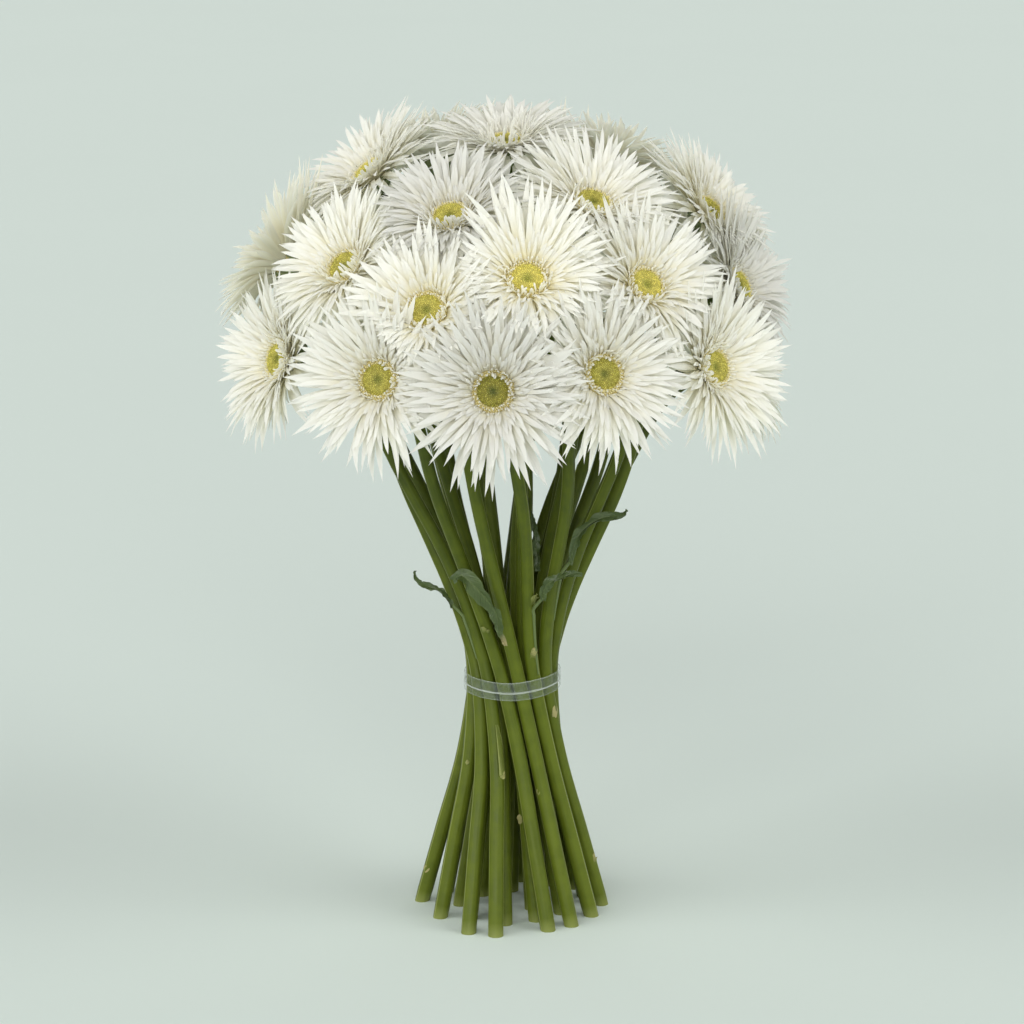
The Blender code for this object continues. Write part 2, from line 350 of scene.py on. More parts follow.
class Board:
    """A short way to lay out the nodes of one tree."""

    def __init__(self, tree: bpy.types.NodeTree) -> None:
        """Takes an existing tree."""
        self.tree = tree

    def feed(self, node: Any, inputs: dict[Any, Any]) -> None:
        """Sets inputs of a node, each to a plain value or by a link from an output socket."""
        for key, value in inputs.items():
            if isinstance(value, Socket):
                self.tree.links.new(value, node.inputs[key])
            else:
                node.inputs[key].default_value = value

    def node(self, kind: str, inputs: Optional[dict[Any, Any]] = None, **settings: Any) -> Any:
        """Adds a node.

        Args:
            kind: The node's type without its ShaderNode prefix.
            inputs: For each input name or number, a plain value or an output socket to link.
            **settings: Properties of the node.

        Returns:
            The node.
        """
        made = self.tree.nodes.new("ShaderNode" + kind)
        for name, value in settings.items():
            setattr(made, name, value)
        self.feed(made, inputs or {})
        return made

    def value(self, name: str, output: str = "Fac") -> Socket:
        """Reads a number that the mesh holds at each vertex, or a vector from the output Vector."""
        return self.node("Attribute", attribute_name=name).outputs[output]

    def math(self, operation: str, a: Any, b: Any) -> Socket:
        """Does sums on two values, either of them a socket. Sums are held between 0 and 1."""
        sums = self.node("Math", {0: a, 1: b}, operation=operation, use_clamp=operation == "ADD")
        return sums.outputs[0]

    def fade(self, value: Any, start: Span, end: Span) -> Socket:
        """Maps a value from one span to another, held at both ends."""
        spans = {"Value": value, "From Min": start[0], "From Max": start[1],
                 "To Min": end[0], "To Max": end[1]}
        return self.node("MapRange", spans, interpolation_type="SMOOTHSTEP").outputs[0]

    def blend(self, share: Any, a: Any, b: Any, way: str = "MIX") -> Socket:
        """Mixes two colours by a share, either of them a socket.

        Args:
            share: How much of the second colour shows.
            a: The first colour, plain or a socket.
            b: The second colour, plain or a socket.
            way: How the two mix.

        Returns:
            The mixed colour.
        """
        ends = [c if isinstance(c, Socket) else (*c, 1.0) for c in (a, b)]
        paint = self.node("Mix", data_type="RGBA", blend_type=way)
        self.feed(paint, {0: share, 6: ends[0], 7: ends[1]})
        return paint.outputs[2]

    def shaded(self, colour: Socket, tone: Socket) -> Socket:
        """Multiplies a colour by a grey."""
        grey = self.node("CombineColor", {0: tone, 1: tone, 2: tone})
        return self.blend(1.0, colour, grey.outputs[0], "MULTIPLY")

    def dress(self, shader: Any, colour: Socket, mask: Socket, rough: Span) -> None:
        """Gives a shader a colour, and a roughness from where a mask is 0 to where it is 1."""
        self.feed(shader, {"Base Color": colour, "Roughness": self.fade(mask, (0.0, 1.0), rough)})

    def relief(self, shader: Any, mask: Socket, depth: float) -> None:
        """Lets a mask raise the surface by so many metres."""
        bump = self.node("Bump", {"Height": mask, "Distance": depth, "Strength": 1.0})
        self.feed(shader, {"Normal": bump.outputs[0]})


def new_group(name: str, inputs: Sequence[tuple[str, str, Any]], output: str) -> tuple[Board, Any, Any]:
    """Starts a node group that puts out one mask.

    Args:
        name: The group's name.
        inputs: A name, a socket type and a starting value for each input.
        output: The mask's name.

    Returns:
        The group's board, the sockets of its inputs and its output node.
    """
    tree = bpy.data.node_groups.new(name, "ShaderNodeTree")
    for label, kind, start in inputs:
        socket = tree.interface.new_socket(label, in_out="INPUT", socket_type="NodeSocket" + kind)
        socket.default_value = start
    tree.interface.new_socket(output, in_out="OUTPUT", socket_type="NodeSocketFloat")
    board = Board(tree)
    return board, tree.nodes.new("NodeGroupInput").outputs, tree.nodes.new("NodeGroupOutput")


class Effects:
    """The effects that several finishes share, each built once."""

    def __init__(self) -> None:
        """Builds the groups."""
        self.streaks = self._streaks()
        self.mottle = self._mottle()

    @staticmethod
    def _streaks() -> bpy.types.NodeTree:
        """Builds fine lines that run along a petal, leaf or stalk.

        Returns:
            The group's tree.
        """
        board, given, leave = new_group(
            "fine_streaks",
            [("Grain", "Vector", (0, 0, 0)), ("Fineness", "Float", 1.0), ("Length", "Float", 0.1)],
            "Lines",
        )
        stretch = board.node("CombineXYZ", {0: given["Fineness"], 1: given["Fineness"], 2: given["Length"]})
        place = board.node("VectorMath", {0: given["Grain"], 1: stretch.outputs[0]}, operation="MULTIPLY")
        noise = board.node("TexNoise", {"Vector": place.outputs[0], "Scale": 1.0, "Detail": 1.0,
                                        "Roughness": 0.6})
        board.feed(leave, {"Lines": board.fade(noise.outputs["Fac"], (0.32, 0.68), (0.0, 1.0))})
        return board.tree

    @staticmethod
    def _mottle() -> bpy.types.NodeTree:
        """Builds soft patches that ignore the shape of the piece.

        Returns:
            The group's tree.
        """
        board, given, leave = new_group("soft_mottle", [("Scale", "Float", 60.0)], "Patches")
        place = board.node("TexCoord").outputs["Object"]
        noise = board.node("TexNoise", {"Vector": place, "Scale": given["Scale"], "Detail": 4.0,
                                        "Roughness": 0.55})
        board.feed(leave, {"Patches": board.fade(noise.outputs["Fac"], (0.35, 0.65), (0.0, 1.0))})
        return board.tree

    def lines(self, board: Board, fineness: float, length: float) -> Socket:
        """Places the streaks in a material.

        Args:
            board: The material's board.
            fineness: Lines to a unit of the grain's first two numbers.
            length: Breaks to a unit of the grain's last number.

        Returns:
            A mask from 0 to 1.
        """
        given = {"Grain": board.value("grain", "Vector"), "Fineness": fineness, "Length": length}
        return board.node("Group", given, node_tree=self.streaks).outputs["Lines"]

    def patches(self, board: Board, scale: float) -> Socket:
        """Places the mottle in a material, with so many patches to a metre."""
        return board.node("Group", {"Scale": scale}, node_tree=self.mottle).outputs["Patches"]


def new_material(name: str, gloss: float) -> tuple[Material, Board, Any]:
    """Starts a material.

    Args:
        name: The material's name.
        gloss: Its specular level.

    Returns:
        The material, its board and its Principled node.
    """
    made = bpy.data.materials.new(name)
    made.use_nodes = True
    shader = made.node_tree.nodes["Principled BSDF"]
    shader.inputs["Specular IOR Level"].default_value = gloss
    return made, Board(made.node_tree), shader


@dataclass(frozen=True)
class PetalFinish:
    """Matt white ray florets, cream where they leave the disc and greener beneath."""

    white: Colour = (0.985, 0.980, 0.955)
    cream: Colour = (0.980, 0.930, 0.700)
    beneath: Colour = (0.975, 0.955, 0.840)
    shadow_tint: Colour = (0.960, 0.945, 0.885)
    glow: float = 0.48
    roughness: Span = (0.49, 0.63)
    line_depth: float = 0.00006

    def material(self, effects: Effects) -> Material:
        """Builds the material.

        Args:
            effects: The shared effects.

        Returns:
            The material.
        """
        made, board, shader = new_material("white_petal", 0.3)
        lines = effects.lines(board, 1.5, 0.06)
        near = board.fade(board.value("along"), (0.05, 0.80), (1.0, 0.0))
        colour = board.blend(board.math("MULTIPLY", near, board.value("warmth")), self.white, self.cream)
        colour = board.blend(board.math("MULTIPLY", lines, 0.20), colour, self.shadow_tint)
        colour = board.blend(board.math("MULTIPLY", board.value("under"), 0.75), colour, self.beneath)
        # Each floret's tone makes it a little greyer: a random tone, and for each bloom a painted light level
        # that whitens or greys the whole bloom as if it were lit more or less brightly.
        colour = board.shaded(colour, board.fade(board.value("tone"), (0.0, 1.0), (0.90, 1.0)))
        board.dress(shader, colour, lines, self.roughness)
        board.relief(shader, lines, self.line_depth)
        through = board.node("BsdfTranslucent", {"Color": colour})
        both = board.node("MixShader", {0: self.glow, 1: shader.outputs[0], 2: through.outputs[0]})
        board.feed(made.node_tree.nodes["Material Output"], {"Surface": both.outputs[0]})
        return made


@dataclass(frozen=True)
class DiscFinish:
    """Packed disc buds: green at the middle, yellow-green further out, with cream beads at the rim."""

    unripe_heart: Colour = (0.065, 0.090, 0.012)
    unripe_body: Colour = (0.280, 0.270, 0.032)
    ripe_heart: Colour = (0.440, 0.450, 0.080)
    ripe_body: Colour = (0.900, 0.820, 0.210)
    bead: Colour = (0.940, 0.870, 0.520)
    bead_gap: Colour = (0.460, 0.385, 0.150)
    gap_shade: Colour = (0.62, 0.56, 0.45)
    roughness: Span = (0.45, 0.70)

    def material(self, effects: Effects) -> Material:
        """Builds the material. The value named rise is 0 in the gaps and 1 on the buds, and the low parts are
        darkened there as painted shade.

        Args:
            effects: The shared effects.

        Returns:
            The material.
        """
        made, board, shader = new_material("disc_buds", 0.3)
        radius, ripe, rise = board.value("along"), board.value("tone"), board.value("rise")
        inner = board.fade(radius, (0.02, 0.55), (0.0, 1.0))
        outer = board.fade(radius, (0.94, 1.04), (0.0, 1.0))
        heart = board.blend(ripe, self.unripe_heart, self.ripe_heart)
        colour = board.blend(inner, heart, board.blend(ripe, self.unripe_body, self.ripe_body))
        colour = board.shaded(colour, board.fade(board.value("grain"), (0.0, 1.0), (0.78, 1.15)))
        # Painted shade: the low parts between the buds are darkened.
        low = board.blend(1.0, colour, self.gap_shade, "MULTIPLY")
        colour = board.blend(rise, board.blend(outer, low, self.bead_gap),
                             board.blend(outer, colour, self.bead))
        patches = effects.patches(board, 900.0)
        board.dress(shader, colour, patches, self.roughness)
        board.relief(shader, patches, 0.00008)
        return made


@dataclass(frozen=True)
class GreenFinish:
    """Green growth: stalk skin, scales and leaves, each with its own colours."""

    name: str
    deep: Colour
    fresh: Colour
    pale: Colour
    roughness: Span
    fineness: float
    line_length: float
    line_depth: float
    shine: float = 0.4
    dry: Colour = (0.38, 0.32, 0.15)

    def material(self, effects: Effects) -> Material:
        """Builds the material. The value named pale marks pale ribs, edges and cut ends, and on the stalks
        also a painted highlight along two raised lines; dry marks the withered ends.

        Args:
            effects: The shared effects.

        Returns:
            The material.
        """
        made, board, shader = new_material(self.name, self.shine)
        lines = effects.lines(board, self.fineness, self.line_length)
        patches = effects.patches(board, 75.0)
        share = board.math("ADD", board.math("MULTIPLY", board.value("tone"), 0.65),
                           board.math("MULTIPLY", patches, 0.25))
        colour = board.blend(share, self.deep, self.fresh)
        colour = board.blend(board.math("MULTIPLY", lines, 0.28), colour, self.fresh)
        colour = board.blend(board.value("pale"), colour, self.pale)
        colour = board.blend(board.value("dry"), colour, self.dry)
        board.dress(shader, colour, patches, self.roughness)
        board.relief(shader, lines, self.line_depth)
        return made


@dataclass(frozen=True)
class ElasticFinish:
    """Clear elastic strip, a little cloudy, that lets the stalks show through, with a painted highlight along
    its edges.
    """

    tint: Colour = (0.29, 0.35, 0.30)
    edge: Colour = (0.78, 0.84, 0.78)
    cover: Span = (0.09, 0.15)
    highlight_cover: float = 0.45
    roughness: Span = (0.16, 0.32)

    def material(self, effects: Effects) -> Material:
        """Builds the material.

        Args:
            effects: The shared effects.

        Returns:
            The material.
        """
        made, board, shader = new_material("clear_elastic", 0.6)
        patches = effects.patches(board, 220.0)
        # The edges are paler and less clear: a painted highlight.
        edge = board.value("pale")
        board.dress(shader, board.blend(edge, self.tint, self.edge), patches, self.roughness)
        body = board.fade(patches, (0.0, 1.0), self.cover)
        alpha = board.math("ADD", body, board.math("MULTIPLY", edge, self.highlight_cover))
        board.feed(shader, {"Alpha": alpha})
        board.relief(shader, patches, 0.00006)
        return made


@dataclass(frozen=True)
class FloorFinish:
    """A plain pale matt floor."""

    colour: Colour

    def material(self, effects: Effects) -> Material:
        """Builds the material.

        Args:
            effects: The shared effects.

        Returns:
            The material.
        """
        made, board, shader = new_material("pale_floor", 0.0)
        dim = tuple(0.995 * c for c in self.colour)
        colour = board.blend(effects.patches(board, 1.5), self.colour, dim)
        board.feed(shader, {"Base Color": colour, "Roughness": 0.9})
        return made


@dataclass(frozen=True)
class Finishes:
    """Every material of the bunch, made once."""

    petal: Material
    disc: Material
    calyx: Material
    stem: Material
    leaf: Material
    elastic: Material

    @classmethod
    def mix(cls, effects: Effects) -> "Finishes":
        """Builds all materials.

        Args:
            effects: The shared effects.

        Returns:
            The finishes.
        """
        calyx = GreenFinish("calyx_scale", (0.055, 0.085, 0.022), (0.16, 0.21, 0.07),
                            (0.34, 0.36, 0.20), (0.53, 0.69), 1.6, 0.10, 0.00010)
        stem = GreenFinish("stalk_skin", (0.031, 0.048, 0.005), (0.116, 0.149, 0.010),
                           (0.36, 0.39, 0.13), (0.39, 0.55), 2.2, 9.0, 0.00012, 0.22)
        leaf = GreenFinish("leaf_blade", (0.030, 0.052, 0.014), (0.085, 0.125, 0.032),
                           (0.20, 0.25, 0.09), (0.38, 0.54), 0.9, 0.12, 0.00018, 0.45)
        return cls(*(finish.material(effects)
                     for finish in (PetalFinish(), DiscFinish(), calyx, stem, leaf, ElasticFinish())))


# Stalks


@dataclass
class Stalk:
    """One cut stalk, which follows a packed stem."""

    node: str
    seed: int
    sides: int = 16
    rings: int = 84
    ribs: int = 5
    rib_depth: float = 0.018
    # Angles of two raised lines that carry a painted highlight, turned to the left and right flanks as seen
    # from the front.
    highlight_ridges: tuple[float, ...] = (3.49, 6.09)
    ridge_half: float = 0.085
    ridge_height: float = 0.030
    cut_bleach: float = 0.007
    line: Array = field(init=False)
    radii: Array = field(init=False)

    def __post_init__(self) -> None:
        """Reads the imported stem's centre line and radii."""
        points, links = welded(self.node)
        floor_ring = np.flatnonzero(points[:, 2] < points[:, 2].min() + 0.2 * MM)
        layers = rings_of(points, links, floor_ring)
        centres = np.array([ring.mean(axis=0) for ring in layers])
        radii = [np.linalg.norm(r - c, axis=1).mean() for r, c in zip(layers, centres)]
        self.line = smooth_curve(centres, self.rings)
        self.radii = smooth_curve(np.array(radii)[:, None], self.rings)[:, 0]

    @property
    def facing(self) -> Array:
        """The way that the stalk's upper end points."""
        return unit(self.line[-1] - self.line[-2])

    def at_height(self, height: float) -> tuple[Array, Array, float]:
        """Gives the stalk's middle, direction and radius at a height."""
        middle, above = (np.array([np.interp(at, self.line[:, 2], self.line[:, k]) for k in range(3)])
                         for at in (height, height + MM))
        return middle, unit(above - middle), float(np.interp(height, self.line[:, 2], self.radii))

    def build(self, finish: Material, marks: Sequence["Mark"]) -> None:
        """Makes the stalk with its ribs, cut end and marks.

        Args:
            finish: The stalk's material.
            marks: Scars and torn sheaths that sit on this stalk.
        """
        rng = np.random.default_rng(self.seed)
        tone, phase, lean = rng.uniform(0, 1), rng.uniform(0, FULL_TURN), rng.uniform(-1.5, 1.5)
        highlight_crests = (rng.normal(0, 0.2) + np.array(self.highlight_ridges)) % FULL_TURN
        flanks = (highlight_crests[:, None] + self.ridge_half * np.array([-1.0, 0.0, 1.0])) % FULL_TURN
        plain = even_turns(self.sides)
        apart = turn_between(plain[:, None], highlight_crests).min(axis=1)
        turn = np.sort(np.concatenate([plain[apart > 1.6 * self.ridge_half], flanks.ravel()]))
        highlight_crest = turn_between(turn[:, None], highlight_crests).min(axis=1) < 0.01
        height = np.linspace(0, 1, self.rings)[:, None]
        ripple = self.rib_depth * np.cos(self.ribs * turn + phase + lean * height) + self.ridge_height * highlight_crest
        swell = 0.010 * np.sin(23 * height + phase) + 0.012 * np.sin(9.1 * height + 2 * phase)
        rings = tube_rings(self.line, RIGHT, self.radii[:, None] * (1 + ripple + swell), turn)
        rings[0, :, 2] = self.line[0, 2]
        grain = np.stack(np.broadcast_arrays(np.cos(turn), np.sin(turn), height + tone), -1)
        travelled = self.line[:, 2:] - self.line[0, 2]
        # Pale near the cut end is the cut's own colour; pale along the two raised lines is a painted
        # highlight.
        pale = np.maximum(0.40 * np.clip(1 - travelled / self.cut_bleach, 0, 1), 0.85 * highlight_crest)
        # Darker towards the top: partly the stalk's own colour, partly painted shade under the blooms.
        fresh = np.clip(0.98 - 1.00 * height + 0.35 * (tone - 0.5), 0, 1)
        draft = Draft()
        draft.add_sweeps(rings[None], None, tone=fresh, pale=pale, dry=0.0, grain=grain[None])
        for mark in marks:
            mark.draw(draft, self)
        draft.hand_over(self.node.replace("stem", "stalk"), finish, Slot.STEM, self.node)


class MarkKind(Enum):
    """What a mark on a stalk is."""

    SHEATH = "sheath"
    TORN = "torn"
    KNOB = "knob"
    SCAR = "scar"


@dataclass(frozen=True)
class Spot:
    """A place on a stalk: its middle and radius there, the way up it and the way out of it."""

    middle: Array
    ahead: Array
    outward: Array
    radius: float

    @property
    def across(self) -> Array:
        """The way to the side."""
        return np.cross(self.ahead, self.outward)


@dataclass(frozen=True)
class Mark:
    """A scar, knob or torn sheath on the stalk that shows foremost at a place seen from the front."""

    kind: MarkKind
    across: float
    height: float
    size: float = 0.006
    lean: float = 20.0
    dry: float = 0.2

    def stalk(self, stalks: Sequence[Stalk]) -> Stalk:
        """Finds the foremost stalk at the mark's place.

        Args:
            stalks: Every stalk of the bunch.

        Returns:
            The stalk that the mark sits on.
        """
        def depth(stalk: Stalk) -> float:
            """Gives how far back the stalk is, with stalks that miss the place last."""
            middle, _, radius = stalk.at_height(self.height)
            return middle[1] + 40.0 * max(abs(middle[0] - self.across) - radius, 0.0)
        return min(stalks, key=depth)

    def draw(self, draft: Draft, stalk: Stalk) -> None:
        """Adds the mark's mesh to the stalk's draft.

        Args:
            draft: The draft of the stalk.
            stalk: The stalk that the mark sits on.
        """
        middle, ahead, radius = stalk.at_height(self.height)
        aside = float(np.clip((self.across - middle[0]) / radius, -0.95, 0.95))
        outward = square_to(ahead, np.array([aside, -math.sqrt(1 - aside**2), 0.0]))
        spot = Spot(middle, ahead, outward, radius)
        if self.kind is MarkKind.SHEATH:
            self._flap(draft, spot, self.size, self.lean)
            beside = Spot(middle - ahead * 0.1 * self.size, ahead, unit(outward + 0.7 * spot.across), radius)
            self._flap(draft, beside, 0.62 * self.size, self.lean + 18)
            return
        if self.kind is MarkKind.TORN:
            self._membrane(draft, stalk, outward)
        self._lump(draft, spot)

    def _lump(self, draft: Draft, spot: Spot) -> None:
        """Adds an uneven lump with a hollow on one side, sunk in the skin.

        Args:
            draft: The draft of the stalk.
            spot: The mark's place.
        """
        tall, proud = (0.7, 0.12) if self.kind is MarkKind.SCAR else (0.5, 0.34)
        size = self.size * (0.55 if self.kind is MarkKind.TORN else 1.0)
        steps = np.linspace(-1, 1, 11)[1:-1]
        turn = even_turns(12)
        swell = np.sqrt(1 - steps**2)[:, None] * (
            1 + 0.16 * np.sin(5.0 * steps[:, None] + 3 * turn) - 0.30 * np.exp(-((turn - 0.9) / 0.5) ** 2))
        start = spot.middle + spot.outward * (spot.radius - 0.1 * size)
        spine = start + spot.ahead * (size * tall * steps)[:, None]
        rings = strap_rings(spine, spot.across, spot.outward, size * 0.36 * swell * np.cos(turn),
                            size * proud * swell * np.sin(turn))
        tip = start + spot.ahead * size * tall
        crown = np.clip(0.5 + 0.5 * np.sin(turn), 0, 1)[::-1]
        draft.add_sweeps(rings[None, :, ::-1], tip[None], tone=0.55, pale=0.15 + 0.40 * crown,
                         dry=self.dry * crown, grain=NO_GRAIN)

    def _flap(self, draft: Draft, spot: Spot, size: float, lean: float) -> None:
        """Adds a small pointed flap that stands away from the stalk at its top.

        Args:
            draft: The draft of the stalk.
            spot: The flap's place.
            size: The flap's length.
            lean: How far its top stands away, in degrees.
        """
        steps = np.linspace(0, 1, 9)
        lift = np.radians(lean) * (steps**1.5 + 0.25 * np.sin(7 * steps))
        way = (np.cos(lift)[:, None] * spot.ahead + np.sin(lift)[:, None] * spot.outward
               + 0.25 * np.sin(4 * steps)[:, None] * spot.across)
        spine = (spot.middle + spot.outward * spot.radius * 0.96
                 + np.cumsum(way, axis=0) * size / len(steps))
        width = (Outline.SCALE.widths(steps) * size * 0.34 * (1 + 0.18 * np.sin(17 * steps)))[:, None]
        corners = Section.TROUGH.corners()
        up = square_to(way, spot.outward)
        rise = -corners[:, 1] * width * 0.55 + corners[:, 2] * 0.25 * MM
        rings = strap_rings(spine, np.cross(up, way), up, corners[:, 0] * width, rise)
        tip = spine[-1] + way[-1] * size * 0.12
        pale = np.linspace(0.05, 0.65, len(steps))[:, None]
        draft.add_sweeps(rings[None], tip[None], tone=0.6, pale=pale, dry=self.dry * pale, grain=NO_GRAIN)

    def _membrane(self, draft: Draft, stalk: Stalk, outward: Array) -> None:
        """Adds a thin torn skin that hangs down the stalk and comes loose along one edge.

        Args:
            draft: The draft of the stalk.
            stalk: The stalk that the skin hangs on.
            outward: The way out of the stalk at the mark.
        """
        steps = np.linspace(0, 1, 15)
        wrap = np.linspace(-1, 1, 7)
        layers = []
        for step in steps:
            middle, ahead, radius = stalk.at_height(self.height + 2.6 * self.size * (1 - step))
            front = square_to(ahead, outward)
            side = np.cross(front, ahead)
            open_to = (0.25 + 1.25 * step) * (1 + 0.10 * math.sin(31 * step))
            turn = math.radians(38) * (wrap - 1.0) * open_to + math.radians(45)
            far = radius + (0.05 + 0.30 * step**2 * (0.5 + 0.5 * wrap) ** 2) * self.size * 0.5
            skin = np.cos(turn)[:, None] * front + np.sin(turn)[:, None] * side
            outer, inner = middle + skin * (far + 0.15 * MM)[:, None], middle + skin * far[:, None]
            layers.append(np.concatenate([outer, inner[::-1]]))
        rings = np.array(layers)[None]
        ways = np.concatenate([wrap, wrap[::-1]])
        pale = np.clip(0.08 + 0.70 * np.abs(ways) ** 8 + 0.20 * steps[:, None] ** 4, 0, 0.9)
        draft.add_sweeps(rings, None, tone=0.7, pale=pale, dry=0.0, grain=rings * SKIN_GRAIN)


# Blooms


@dataclass(frozen=True)
class Whorl:
    """One ring of florets of about the same length and lean, in a bloom of standard size."""

    count: int
    root: Span
    root_height: float
    length: Span
    width: Span
    lean_root: float
    lean_tip: Span
    section: Section
    outline: Outline
    rings: int
    warmth: Span
    channel: float
    thickness: float
    sway: float
    twist: float
    gathered: float = 0.0

    @property
    def steps(self) -> Array:
        """The shares of a floret's length at which it has a ring, closer together near the tip."""
        return 1.0 - (1.0 - np.linspace(0, 1, self.rings + 1)) ** 1.25


# Two whorls of trans florets, which are short thick knobs that curl over the rim of the disc, and
# then the rays, from the short upright ones to the long flat ones.
WHORLS: tuple[Whorl, ...] = (
    Whorl(34, (0.0104, 0.0120), 0.0003, (0.0028, 0.0046), (0.0012, 0.0017), 10, (-65, 20),
          Section.STRAP, Outline.BLUNT, 4, (0.30, 0.80), 0.15, 0.00050, 0.16, 30, 0.45),
    Whorl(46, (0.0118, 0.0134), 0.0000, (0.0050, 0.0090), (0.0012, 0.0018), 15, (-15, 62),
          Section.STRAP, Outline.BLUNT, 4, (0.35, 0.85), 0.30, 0.00035, 0.16, 40, 0.35),
    Whorl(58, (0.0126, 0.0142), -0.0004, (0.0100, 0.0160), (0.0018, 0.0026), 26, (42, 70),
          Section.STRAP, Outline.SLENDER, 5, (0.8, 1.0), 0.18, 0.00020, 0.11, 14),
    Whorl(64, (0.0130, 0.0146), -0.0009, (0.0165, 0.0250), (0.0020, 0.0029), 34, (50, 76),
          Section.STRAP, Outline.SLENDER, 5, (0.8, 1.0), 0.18, 0.00020, 0.10, 12),
    Whorl(62, (0.0134, 0.0150), -0.0015, (0.0250, 0.0340), (0.0024, 0.0034), 42, (58, 81),
          Section.STRAP, Outline.SLENDER, 6, (0.7, 1.0), 0.18, 0.00020, 0.09, 10),
    Whorl(56, (0.0136, 0.0152), -0.0023, (0.0330, 0.0410), (0.0030, 0.0041), 50, (66, 88),
          Section.STRAP, Outline.SLENDER, 7, (0.7, 1.0), 0.18, 0.00020, 0.09, 9),
    Whorl(46, (0.0136, 0.0152), -0.0033, (0.0385, 0.0470), (0.0038, 0.0050), 58, (75, 97),
          Section.TROUGH, Outline.POINTED, 6, (0.6, 0.9), 0.18, 0.00018, 0.09, 8),
    Whorl(36, (0.0134, 0.0148), -0.0045, (0.0420, 0.0505), (0.0046, 0.0060), 66, (85, 107),
          Section.TROUGH, Outline.POINTED, 7, (0.6, 0.9), 0.18, 0.00018, 0.09, 8),
)


